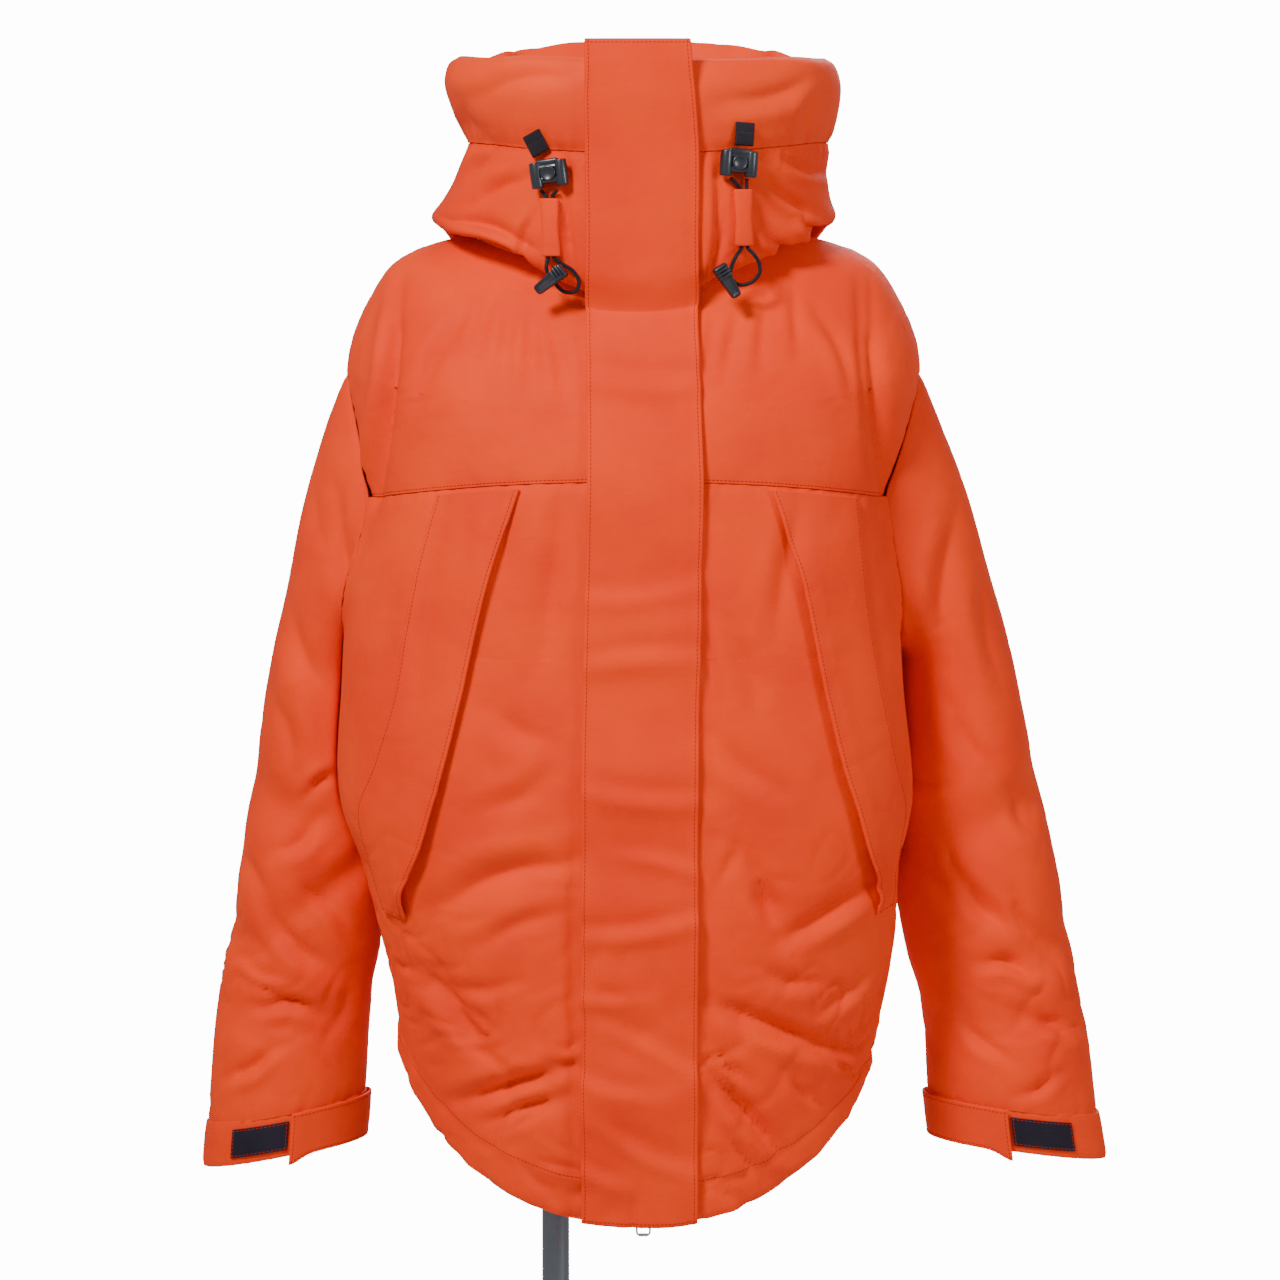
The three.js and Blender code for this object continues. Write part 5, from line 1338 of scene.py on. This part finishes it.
def pocket_grid(name):
    columns = dict(zip(("level", "near", "far"), np.array(POCKET_ROWS[name], float).T))
    last = len(columns["level"]) - 1
    i = last * edge_spaced(0.46)
    r = column(columns, "level", i)
    near = angle_at_x(BODY, column(columns, "near", i) * MM, r)
    far = angle_at_x(BODY, column(columns, "far", i) * MM, r)
    ends = np.sin(np.clip(i / 1.2, 0, 1) * np.clip((last - i) / 1.2, 0, 1) * math.pi / 2)
    share = edge_spaced(0.075, 3.4 * MM)[None, :]
    angle = near[:, None] + (far - near)[:, None] * share
    base, normals = body_surface(angle, np.broadcast_to(r[:, None], angle.shape))
    open_low = 1 + 1.1 * np.clip(2 * i[:, None] / last - 0.9, 0, 1)
    lift = 0.7 * MM + POCKET_LIFT * open_low * ends[:, None] * np.exp(-((share * 5 / 1.6) ** 2)) + OVERLAY
    hump = 1.2 * MM * np.sin(math.pi * share) * ends[:, None]
    grid = base + normals * (lift + hump)[..., None]
    # Rows go up and columns to the right, whichever side the panel lies on.
    grid = grid[::-1]
    return grid if name == "right" else grid[:, ::-1]


pocket_grids = {}
for name in ("left", "right"):
    grid = pocket_grid(name)
    across = run_length(grid, 1)
    near_off = across if name == "right" else across[:, -1:] - across
    press = 0.5 * MM * np.exp(-(((near_off - 8 * MM) / (2 * MM)) ** 2))
    grid = grid - grid_normals(grid) * press[..., None]
    pocket_grids[name] = grid
    piece = shell(f"pocket_panel_{name}", grid, OVERLAY, PANEL, roll=0.9 * MM)
    sew_on(piece, grid, "overlay_cloth", f"pocket_panel_{name}")

# %% [markdown]
# The zip is hidden by the placket from the front, but shows from inside. Its tape fills the gap
# between the fronts, and its teeth are one small block copied up the tape's middle.

# %% Zip tape and teeth
ZIP_HALF = CENTRE - 0.5 * MM
ZIP_SUNK = -4.2 * MM
ZIP_THICK = 2.4 * MM
ZIP_START = 0.213
TOOTH = {"wide": 4.6 * MM, "tall": 1.3 * MM, "deep": 1.0 * MM, "pitch": 2.4 * MM}

zip_rows = [("body", r) for r in np.linspace(ZIP_START, 10.6, 200)] + [("hood", r) for r in np.linspace(2, 9, 36)]
zip_shares = np.linspace(-1, 1, 9)
zip_grid, zip_normals = [], []
for kind, r in zip_rows:
    points, n = strip_row(kind, r, ZIP_HALF * zip_shares + 1e-7)
    zip_grid.append(points + n * (ZIP_SUNK + ZIP_THICK))
    zip_normals.append(n)
zip_grid, zip_normals = np.array(zip_grid), np.array(zip_normals)
piece = shell("zip_tape", zip_grid, ZIP_THICK, TAPE, roll=0.0)
sew_on(piece, zip_grid, "zip_tape", "zip_tape")


def resample(points, normals, pitch):
    """Evenly spaced places along a line, with its direction and normal there."""
    along = np.concatenate([[0], np.cumsum(np.linalg.norm(np.diff(points, axis=0), axis=1))])
    count = max(int(along[-1] / pitch), 1)
    at = (np.arange(count) + 0.5) * along[-1] / count
    places = np.stack([np.interp(at, along, points[:, k]) for k in range(3)], -1)
    facing = unit(np.stack([np.interp(at, along, normals[:, k]) for k in range(3)], -1))
    way = unit(np.stack([np.interp(at + pitch / 4, along, points[:, k]) - np.interp(at - pitch / 4, along, points[:, k])
                         for k in range(3)], -1))
    return places, way, facing


def copies(name, shape, faces, places, ways, facings, material):
    """One mesh that holds a small shape at many places, its X along the line and its Z outwards."""
    side = unit(np.cross(facings, ways))
    up = np.cross(ways, side)
    points = (places[:, None] + shape[None, :, 0:1] * ways[:, None] + shape[None, :, 1:2] * side[:, None]
              + shape[None, :, 2:3] * up[:, None])
    count = len(places)
    all_faces = [tuple(int(v) + k * len(shape) for v in face) for k in range(count) for face in faces]
    data = bpy.data.meshes.new(name)
    data.from_pydata(points.reshape(-1, 3).tolist(), [], all_faces)
    data.polygons.foreach_set("use_smooth", np.ones(len(all_faces), bool))
    layer = data.uv_layers.new(name="cloth")
    corner = np.zeros(len(data.loops), np.int32)
    data.loops.foreach_get("vertex_index", corner)
    flat = np.tile(shape[:, :2], (count, 1)) + np.repeat(np.arange(count), len(shape))[:, None] * 0.004
    layer.data.foreach_set("uv", flat[corner].astype(np.float32).ravel())
    data.materials.append(material)
    piece = bpy.data.objects.new(name, data)
    bpy.context.scene.collection.objects.link(piece)
    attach(piece, JACKET)
    return piece


def block_shape(size):
    corners = np.array([(x, y, z) for z in (-1, 1) for y in (-1, 1) for x in (-1, 1)], float) / 2
    faces = [(0, 2, 3, 1), (4, 5, 7, 6), (0, 1, 5, 4), (2, 6, 7, 3), (0, 4, 6, 2), (1, 3, 7, 5)]
    return corners * np.array(size), faces


tooth_shape, tooth_faces = block_shape((TOOTH["tall"], TOOTH["wide"], TOOTH["deep"]))
places, ways, facings = resample(zip_grid[:, 4] + zip_normals[:, 4] * 0.3 * MM, zip_normals[:, 4], TOOTH["pitch"])
zip_teeth = copies("zip_teeth", tooth_shape, tooth_faces, places, ways, facings, WEBBING)
print("zip teeth:", len(places))

# %% [markdown]
# Stitching is modelled as real thread: one slim spindle, copied along lines that lie on the finished
# grids. Each line is a row or a column of a grid, a little inside an edge or along a seam.

# %% Stitches
STITCH = {"pitch": 3.2 * MM, "length": 2.5 * MM, "thread": 0.28 * MM}


def spindle_shape():
    rings, sides = ((-0.5, 0.25), (-0.3, 1.0), (0.3, 1.0), (0.5, 0.25)), 5
    shape = [(x * STITCH["length"], radius * STITCH["thread"] * math.cos(math.tau * k / sides),
              radius * STITCH["thread"] * math.sin(math.tau * k / sides))
             for x, radius in rings for k in range(sides)]
    faces = [(i * sides + k, i * sides + (k + 1) % sides, (i + 1) * sides + (k + 1) % sides, (i + 1) * sides + k)
             for i in range(len(rings) - 1) for k in range(sides)]
    faces += [tuple(range(sides - 1, -1, -1)), tuple((len(rings) - 1) * sides + k for k in range(sides))]
    return np.array(shape), faces


def line_inside(grid, edge, off):
    """The line of a grid that runs at a distance inside one of its edges, and its normals."""
    normals = grid_normals(grid)
    across, up = run_length(grid, 1), run_length(grid, 0)
    if edge in ("left", "right"):
        from_edge = across if edge == "left" else across[:, -1:] - across
        rows = range(grid.shape[0])
        order = slice(None) if edge == "left" else slice(None, None, -1)
        line = [[np.interp(off, from_edge[r, order], grid[r, order, k]) for k in range(3)] for r in rows]
        face = [[np.interp(off, from_edge[r, order], normals[r, order, k]) for k in range(3)] for r in rows]
    else:
        from_edge = up if edge == "low" else up[-1:] - up
        cols = range(grid.shape[1])
        order = slice(None) if edge == "low" else slice(None, None, -1)
        line = [[np.interp(off, from_edge[order, c], grid[order, c, k]) for k in range(3)] for c in cols]
        face = [[np.interp(off, from_edge[order, c], normals[order, c, k]) for k in range(3)] for c in cols]
    return np.array(line), unit(np.array(face))


def stitch(name, lines):
    shape, faces = spindle_shape()
    found = [resample(line, facing, STITCH["pitch"]) for line, facing in lines]
    places, ways, facings = (np.concatenate(part) for part in zip(*found))
    piece = copies(name, shape, faces, places + facings * 0.05 * MM, ways, facings, THREAD)
    print(name, "has", len(places), "stitches")
    return piece


EDGE_STITCH = 2.2 * MM
stitch("placket_stitching", [line_inside(placket_grid, edge, EDGE_STITCH) for edge in ("left", "right", "low", "high")])
for name, grid in pocket_grids.items():
    stitch(f"pocket_stitching_{name}", [line_inside(grid, edge, EDGE_STITCH) for edge in ("left", "right", "low")])
for name, grids in cuff_grids.items():
    stitch(f"cuff_stitching_{name}", [
        *(line_inside(grids["tab"], edge, EDGE_STITCH) for edge in ("left", "right", "low", "high")),
        *(line_inside(grids["patch"], edge, 1.2 * MM) for edge in ("left", "right", "low", "high")),
    ])
stitch("hem_stitching", list(hem_line.values()))
stitch("yoke_stitching", [line_inside(body_grids[f"{part}_yoke{end}"], "low", EDGE_STITCH)
                          for part, end in (("front", "_left"), ("front", "_right"), ("back", ""))])

# %% [markdown]
# Hard pieces are modelled as by hand: a cube or a cylinder is added at its size, its edges are
# bevelled, faces are inset and pushed in or pulled out, and the result is turned and moved into
# place. Two small helpers deselect everything and select faces by a test.


# %% Helpers for hard pieces
def clear_selection():
    bpy.ops.object.select_all(action="DESELECT")


def start_block(name, size):
    clear_selection()
    bpy.ops.mesh.primitive_cube_add(size=1)
    piece = bpy.context.object
    piece.name = piece.data.name = name
    piece.scale = size
    bpy.ops.object.transform_apply(location=False, rotation=False, scale=True)
    return piece


def start_round(name, radius, height, sides=64):
    clear_selection()
    bpy.ops.mesh.primitive_cylinder_add(vertices=sides, radius=radius, depth=height)
    piece = bpy.context.object
    piece.name = piece.data.name = name
    return piece


def pick_faces(piece, test):
    """Selects the faces whose middle and normal pass the test, and opens edit mode."""
    bpy.ops.object.mode_set(mode="EDIT")
    bpy.ops.mesh.select_mode(type="FACE")
    bpy.ops.mesh.select_all(action="DESELECT")
    bpy.ops.object.mode_set(mode="OBJECT")
    for face in piece.data.polygons:
        face.select = bool(test(face.center, face.normal))
    bpy.ops.object.mode_set(mode="EDIT")


def bevel(piece, width, segments=3, angle=30):
    modifier = piece.modifiers.new("bevel", "BEVEL")
    modifier.width = width
    modifier.segments = segments
    modifier.limit_method = "ANGLE"
    modifier.angle_limit = math.radians(angle)
    bpy.context.view_layer.objects.active = piece
    bpy.ops.object.modifier_apply(modifier="bevel")


def join(name, pieces):
    clear_selection()
    for piece in pieces:
        piece.select_set(True)
    bpy.context.view_layer.objects.active = pieces[0]
    bpy.ops.object.join()
    pieces[0].name = pieces[0].data.name = name
    return pieces[0]


def settle(piece, material, body, nodes, turn=Matrix(), move=(0, 0, 0)):
    """Puts a finished piece in its place, in its mesh, and hands it to the frame."""
    piece.data.transform(Matrix.Translation(Vector(move)) @ turn @ piece.matrix_world)
    piece.matrix_world = Matrix()
    if material is not None:
        piece.data.materials.clear()
        piece.data.materials.append(material)
    clear_selection()
    piece.select_set(True)
    bpy.context.view_layer.objects.active = piece
    bpy.ops.object.shade_smooth_by_angle(angle=math.radians(40))
    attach(piece, body)
    if nodes:
        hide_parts(*nodes)
    print(piece.name, "has", len(piece.data.polygons), "faces")
    return piece


# %% [markdown]
# Moulded plastic is nearly black, with a satin surface that a fine grain breaks up. The metals are
# brushed or polished: their roughness changes a little over the surface, so highlights look real.


# %% Hard materials
def grained(name, light, deep, rough, metal=0.0, grain=900.0, depth=0.00004, size=60.0, stretch=(1, 1, 1), coat=0.0):
    made, tree, shader = new_material(name)
    place = node(tree, "ShaderNodeTexCoord")
    scaled = node(tree, "ShaderNodeMapping", [("Vector", place.outputs["Object"])])
    scaled.inputs["Scale"].default_value = stretch
    blotch = node(tree, "ShaderNodeGroup", node_tree=BLOTCH)
    blotch.inputs["Light"].default_value = (*light, 1)
    blotch.inputs["Deep"].default_value = (*deep, 1)
    blotch.inputs["Size"].default_value = size
    tree.links.new(blotch.outputs["Colour"], shader.inputs["Base Color"])
    noise = node(tree, "ShaderNodeTexNoise", [("Vector", scaled.outputs[0]), ("Scale", grain), ("Detail", 2.0)])
    rough_map = node(tree, "ShaderNodeMapRange", [(0, noise.outputs["Fac"]), (1, 0.3), (2, 0.7),
                                                  (3, rough * 0.8), (4, min(rough * 1.2, 1.0))])
    tree.links.new(rough_map.outputs[0], shader.inputs["Roughness"])
    bump = node(tree, "ShaderNodeBump", [("Height", noise.outputs["Fac"]), ("Strength", 0.4), ("Distance", depth)])
    tree.links.new(bump.outputs[0], shader.inputs["Normal"])
    shader.inputs["Metallic"].default_value = metal
    shader.inputs["Coat Weight"].default_value = coat
    return made


PLASTIC = grained("black_moulding", (0.022, 0.024, 0.034), (0.012, 0.013, 0.020), 0.34, coat=0.15)
SILVER = grained("cast_silver", (0.70, 0.71, 0.73), (0.55, 0.56, 0.58), 0.24, metal=1.0, grain=400.0)
STEEL = grained("satin_steel", (0.25, 0.26, 0.29), (0.18, 0.19, 0.22), 0.26, metal=1.0, grain=260.0,
                stretch=(1, 1, 0.03), size=8.0)
BASE_METAL = grained("painted_base", (0.62, 0.62, 0.63), (0.56, 0.56, 0.57), 0.42, metal=0.1, grain=700.0, size=6.0)
print("hard finishes:", PLASTIC.name, SILVER.name, STEEL.name, BASE_METAL.name)

# %% [markdown]
# The cord lock is a squat oval body with a sprung button in its middle and a cord hole on each side.
# It hangs on a folded webbing tab. The toggle at the cord's end is a slim clamp with a slot.


# %% Cord locks, tabs, tubes and toggles
def lock_piece(name):
    w, h, t = LOCK_SIZE["width"], LOCK_SIZE["height"], LOCK_SIZE["thick"]
    body = start_block(name, (w, t * 0.62, h * 0.72))
    bevel(body, 3.4 * MM, 4)
    pick_faces(body, lambda at, n: n.y < -0.99)
    bpy.ops.mesh.inset(thickness=1.1 * MM, depth=-0.9 * MM)
    bpy.ops.object.mode_set(mode="OBJECT")
    button = start_round(name + "_button", h * 0.27, t * 0.86, 32)
    button.data.transform(Matrix.Rotation(math.pi / 2, 4, "X"))
    bevel(button, 0.9 * MM, 3)
    pick_faces(button, lambda at, n: n.y < -0.99)
    bpy.ops.mesh.inset(thickness=1.3 * MM, depth=-0.7 * MM)
    bpy.ops.object.mode_set(mode="OBJECT")
    parts = [body, button]
    for side in (-1, 1):
        barrel = start_round(name + "_barrel", t * 0.44, h * 0.9, 24)
        bevel(barrel, 1.0 * MM, 3)
        pick_faces(barrel, lambda at, n: n.z < -0.99)
        bpy.ops.mesh.inset(thickness=1.4 * MM, depth=-2.5 * MM)
        bpy.ops.object.mode_set(mode="OBJECT")
        barrel.data.transform(Matrix.Translation((side * w * 0.33, 0, -h * 0.03)))
        parts.append(barrel)
    bar = start_block(name + "_bar", (w * 0.58, t * 0.5, h * 0.24))
    bevel(bar, 1.6 * MM, 3)
    bar.data.transform(Matrix.Translation((0, 0, h * 0.38)))
    parts.append(bar)
    return join(name, parts)


def toggle_piece(name):
    w, h, t = TOGGLE_SIZE["width"], TOGGLE_SIZE["height"], TOGGLE_SIZE["thick"]
    body = start_block(name, (w, t, h))
    pick_faces(body, lambda at, n: n.z < -0.99)
    bpy.ops.transform.resize(value=(0.66, 0.72, 1))
    bpy.ops.object.mode_set(mode="OBJECT")
    bevel(body, 2.2 * MM, 4)
    pick_faces(body, lambda at, n: n.y < -0.9 and abs(at.z) < h * 0.3)
    bpy.ops.mesh.inset(thickness=1.5 * MM, depth=-1.2 * MM)
    bpy.ops.object.mode_set(mode="OBJECT")
    ribs = [body]
    for k in range(3):
        rib = start_block(name + "_rib", (w * 0.92, t * 1.02, 1.6 * MM))
        bevel(rib, 0.5 * MM, 2)
        rib.data.transform(Matrix.Translation((0, 0, h * (0.36 - 0.1 * k))))
        ribs.append(rib)
    return join(name, ribs)


def draw_matrix(d, turn):
    return (Matrix.Rotation(d["side"] * YAW, 4, "Z") @ Matrix.Rotation(-math.radians(turn), 4, "Y"))


def cloth_tube(name, d):
    """Flat hollow tube round the two strands, sewn along its back."""
    across, _ = draw_frame(d)
    top_x, top_z, low_x, low_z = d["tube"]
    turns = math.pi / 2 + 0.03 + (math.tau - 0.06) * np.linspace(0, 1, 41)
    rows = []
    for t in np.linspace(1, 0, 26):
        middle = before_hood(top_x + (low_x - top_x) * t, top_z + (low_z - top_z) * t, CORD_OFF)
        pinch = 1 - 0.10 * math.sin(math.pi * t) + 0.03 * math.sin(9 * t)
        wide = TUBE_SIZE["width"] / 2 * np.sign(np.cos(turns)) * np.abs(np.cos(turns)) ** 0.7 * pinch
        deep = TUBE_SIZE["thick"] / 2 * np.sign(np.sin(turns)) * np.abs(np.sin(turns)) ** 0.7
        rows.append(middle + wide[:, None] * across + deep[:, None] * np.array([0, 1, 0]))
    grid = np.array(rows)
    piece = shell(name, grid, TUBE_SIZE["wall"], SHELL, roll=0.3 * MM)
    return piece, grid


for name, d in DRAW.items():
    lock_x, lock_z, turn = d["lock"]
    settle(lock_piece(f"lock_body_{name}"), PLASTIC, JACKET, [f"cord_lock_{name}"],
           draw_matrix(d, turn), before_hood(lock_x, lock_z, LOCK_SIZE["thick"] / 2 + 4 * MM))
    tab_x, tab_z, turn = d["tab"]
    tab = start_block(f"tab_web_{name}", (TAB_SIZE["width"], TAB_SIZE["thick"], TAB_SIZE["height"]))
    bevel(tab, 0.8 * MM, 3)
    fold = start_block(f"lock_fold_{name}", (TAB_SIZE["width"] * 0.96, TAB_SIZE["thick"], TAB_SIZE["height"] * 0.55))
    bevel(fold, 0.8 * MM, 3)
    fold.data.transform(Matrix.Translation((0, -1.5 * MM, -TAB_SIZE["height"] * 0.2)))
    tab = join(f"tab_web_{name}", [tab, fold])
    tab.data.uv_layers[0].name = "cloth"
    settle(tab, WEBBING, JACKET, [f"lock_tab_{name}"],
           draw_matrix(d, turn), before_hood(tab_x, tab_z, TAB_SIZE["thick"] / 2 + 4.1 * MM))
    toggle_x, toggle_z, turn, off = d["toggle"]
    _, front = draw_frame(d)
    settle(toggle_piece(f"toggle_clamp_{name}"), PLASTIC, JACKET,
                           [f"cord_toggle_{name}"], draw_matrix(d, turn),
                           (toggle_x, front - TOGGLE_SIZE["thick"] / 2 - off, toggle_z))
    tube, grid = cloth_tube(f"cord_tube_{name}", d)
    sew_on(tube, grid, "shell_cloth", f"cord_tube_{name}")

# %% Cords handed to the frame
CORD_CLOTH = cloth_material("black_cord", (0.018, 0.018, 0.027), (0.010, 0.010, 0.016), threads=600.0,
                            weave_depth=0.0006, rough=0.55, sheen=0.2)
for name, (piece, line, length) in cords.items():
    piece.data.materials.append(CORD_CLOTH)
    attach(piece, JACKET)
    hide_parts(f"drawcord_{name}")

# %% [markdown]
# The slider stands at the foot of the zip and carries a small ring by its top bar. The ring is the
# one part that moves: it swings on the slider's eye.

# %% Slider and pull
PULL_AT = Vector((0.0026, -0.1435, 0.6645))
PULL_SIZE = {"width": 12 * MM, "height": 13 * MM, "rod": 0.9 * MM}


def pull_outline():
    w, h = PULL_SIZE["width"] / 2 - PULL_SIZE["rod"], PULL_SIZE["height"]
    corners = [(w, 0, 1.2 * MM), (w, -h, 3.4 * MM), (-w, -h, 3.4 * MM), (-w, 0, 1.2 * MM)]
    line = []
    for k, (x, z, radius) in enumerate(corners):
        before, after = corners[k - 1], corners[(k + 1) % 4]
        come = unit(np.array([x - before[0], z - before[1]]))
        go = unit(np.array([after[0] - x, after[1] - z]))
        start, stop = np.array([x, z]) - come * radius, np.array([x, z]) + go * radius
        for t in np.linspace(0, 1, 7):
            line.append((1 - t) ** 2 * start + 2 * t * (1 - t) * np.array([x, z]) + t * t * stop)
    return line


ring = bpy.data.curves.new("pull_ring", "CURVE")
ring.dimensions = "3D"
spline = ring.splines.new("POLY")
outline = pull_outline()
spline.points.add(len(outline) - 1)
for point, (x, z) in zip(spline.points, outline):
    point.co = (x, 0, z, 1)
spline.use_cyclic_u = True
ring.bevel_depth = PULL_SIZE["rod"]
ring.bevel_resolution = 5
ring_object = bpy.data.objects.new("pull_ring", ring)
bpy.context.scene.collection.objects.link(ring_object)
clear_selection()
ring_object.select_set(True)
bpy.context.view_layer.objects.active = ring_object
bpy.ops.object.convert(target="MESH")
grip = start_block("zip_grip", (PULL_SIZE["width"] * 0.62, 2.4 * MM, 2.6 * MM))
bevel(grip, 0.8 * MM, 3)
grip.data.transform(Matrix.Translation((0, 0, -PULL_SIZE["height"] + 0.4 * MM)))
pull = join("pull_ring", [ring_object, grip])
settle(pull, SILVER, "zip_pull", ["zip_pull"], Matrix(), PULL_AT)

for slot_index in range(len(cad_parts["zip_slider"].material_slots)):
    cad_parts["zip_slider"].material_slots[slot_index].material = SILVER
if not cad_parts["zip_slider"].material_slots:
    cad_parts["zip_slider"].data.materials.append(SILVER)

# %% [markdown]
# The form is a plain padded bust without limbs, covered in cotton. It is worked out from a few
# rings below and from the body's own shoulders above, set in by the cloth's thickness.

# %% Dress form
FORM_ROWS = table("z left right front back broad", [
    (830, 150, 148, -118, 108, -12),
    (900, 168, 166, -124, 118, -12),
    (1000, 166, 164, -126, 116, -14),
    (1100, 172, 166, -138, 118, -14),
    (1200, 182, 172, -142, 122, -10),
])
FORM_SEAT = 1.2 * MM
SHOULDERS = ((8.6, 22, 0), (9.2, 14, 0), (9.8, 5, 0), (10.3, 0, 0), (10.7, 0.4, 0), (11, 0, 9))
NECK_RINGS = ((1450, 66), (1474, 59), (1492, 56))
form_angles = np.linspace(0, math.tau, 97)[:-1]


def form_rings():
    rings = []
    flat = {**FORM_ROWS, "bend": 0.0, "z_front": FORM_ROWS["z"], "z_side": FORM_ROWS["z"], "z_back": FORM_ROWS["z"]}
    for r in np.linspace(0, 4, 25):
        rings.append(level_point(flat, form_angles, np.full_like(form_angles, r)))
    above = []
    for r, clear, inward in SHOULDERS:
        points = level_point(BODY, form_angles, r + 0 * form_angles)
        off = CLOTH + FORM_SEAT + clear * MM * (1 - 0.5 * np.abs(np.sin(form_angles)))
        points = points - level_normal(BODY, form_angles, r + 0 * form_angles) * off[:, None]
        inwards = np.stack([-np.sin(form_angles), np.cos(form_angles), 0 * form_angles], -1)
        above.append(points + inwards * inward * MM)
    for z, half in NECK_RINGS:
        above.append(np.stack([half * MM * np.sin(form_angles), -4 * MM - half * MM * np.cos(form_angles),
                               np.full_like(form_angles, z * MM)], -1))
    chain = [rings[-1], *above]
    for lower, upper in zip(chain, chain[1:]):
        for t in np.linspace(0, 1, 5)[1:]:
            rings.append(lower + (upper - lower) * t)
    return np.array(rings)


form_points = form_rings()
rows, cols = form_points.shape[:2]
number = np.arange(rows * cols).reshape(rows, cols)
right = np.roll(number, -1, axis=1)
form_faces = np.stack([number[:-1], right[:-1], right[1:], number[1:]], -1).reshape(-1, 4).tolist()
form_faces.append([int(v) for v in number[0][::-1]])
form_faces.append([int(v) for v in number[-1]])
form_data = bpy.data.meshes.new("padded_bust")
form_data.from_pydata(form_points.reshape(-1, 3).tolist(), [], form_faces)
form_layer = form_data.uv_layers.new(name="cloth")
form_turn = np.stack([np.broadcast_to(form_angles * 0.16, (rows, cols)), form_points[..., 2]], -1).reshape(-1, 2)
form_corner = np.zeros(len(form_data.loops), np.int32)
form_data.loops.foreach_get("vertex_index", form_corner)
form_layer.data.foreach_set("uv", form_turn[form_corner].astype(np.float32).ravel())
form = bpy.data.objects.new("padded_bust", form_data)
bpy.context.scene.collection.objects.link(form)
settle(form, COVER, JACKET, ["dress_form"])

# %% [markdown]
# The stand is a steel pole in a socket under the form, on a heavy round plate. Turned parts start as
# cylinders, and their rims are bevelled so that they catch a thin line of light.

# %% Stand
socket_low, socket_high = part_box("form_socket")
socket = start_round("socket_collar", (socket_high.x - socket_low.x) / 2, socket_high.z - socket_low.z, 64)
bevel(socket, 1.5 * MM, 3)
pick_faces(socket, lambda at, n: n.z < -0.99)
bpy.ops.mesh.inset(thickness=6 * MM, depth=1.5 * MM)
bpy.ops.object.mode_set(mode="OBJECT")
settle(socket, STEEL, JACKET, ["form_socket"], Matrix(), (socket_low + socket_high) / 2)

pole_low, pole_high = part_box("pole")
pole = start_round("steel_pole", (pole_high.x - pole_low.x) / 2, pole_high.z - pole_low.z, 64)
bevel(pole, 0.6 * MM, 2)
settle(pole, STEEL, JACKET, ["pole"], Matrix(), (pole_low + pole_high) / 2)

base_low, base_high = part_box("base_plate")
base = start_round("round_base", (base_high.x - base_low.x) / 2, base_high.z - base_low.z, 128)
bevel(base, 2.5 * MM, 4)
settle(base, BASE_METAL, JACKET, ["base_plate"], Matrix(), (base_low + base_high) / 2)

# %% [markdown]
# The room is a pale disc of floor that fades out into an even white surround, with one large soft
# light high at the front left, a weaker one at the right, and light all round from the world. The
# camera sees the surround as bright white, while the jacket is lit by a dimmer one, which keeps its
# folds deep.

# %% Floor, lights and world
FLOOR_RADIUS = 3.0
clear_selection()
bpy.ops.mesh.primitive_circle_add(vertices=96, radius=FLOOR_RADIUS, fill_type="NGON", location=(0, 0, -0.5 * MM))
floor = bpy.context.object
floor.name = "studio_floor"
floor_material, tree, shader = new_material("pale_floor")
place = node(tree, "ShaderNodeTexCoord")
reach = node(tree, "ShaderNodeVectorMath", [(0, place.outputs["Object"])], operation="LENGTH")
fade = node(tree, "ShaderNodeMapRange", [(0, reach.outputs["Value"]), (1, 0.7), (2, 1.6), (3, 1.0), (4, 0.0)])
noise = node(tree, "ShaderNodeTexNoise", [("Vector", place.outputs["Object"]), ("Scale", 5.0), ("Detail", 3.0)])
tint = node(tree, "ShaderNodeMix", [(0, noise.outputs["Fac"]), (6, (0.86, 0.86, 0.85, 1)), (7, (0.9, 0.9, 0.89, 1))],
            data_type="RGBA")
tree.links.new(tint.outputs[2], shader.inputs["Base Color"])
tree.links.new(fade.outputs[0], shader.inputs["Alpha"])
shader.inputs["Roughness"].default_value = 0.7
floor.data.materials.append(floor_material)


def soft_light(name, place, size, power):
    data = bpy.data.lights.new(name, "AREA")
    data.shape = "DISK"
    data.size = size
    data.energy = power
    light = bpy.data.objects.new(name, data)
    light.location = place
    light.rotation_euler = (TARGET - Vector(place)).to_track_quat("-Z", "Y").to_euler()
    bpy.context.scene.collection.objects.link(light)
    return light


soft_light("key_light", (-1.3, -2.3, 3.3), 0.8, 118)
soft_light("fill_light", (2.6, -1.9, 1.9), 1.1, 36)
soft_light("back_light", (0.6, 3.0, 2.6), 1.8, 60)

world = bpy.data.worlds.new("studio_world")
bpy.context.scene.world = world
world.use_nodes = True
tree = world.node_tree
surround = tree.nodes["Background"]
surround.inputs["Color"].default_value = (1.0, 1.0, 1.0, 1)
surround.inputs["Strength"].default_value = 0.40
backdrop = node(tree, "ShaderNodeBackground", [("Color", (1.0, 1.0, 1.0, 1)), ("Strength", 14.0)])
path = node(tree, "ShaderNodeLightPath")
both = node(tree, "ShaderNodeMixShader", [(0, path.outputs["Is Camera Ray"]), (1, surround.outputs[0]),
                                          (2, backdrop.outputs[0])])
tree.links.new(both.outputs[0], tree.nodes["World Output"].inputs["Surface"])
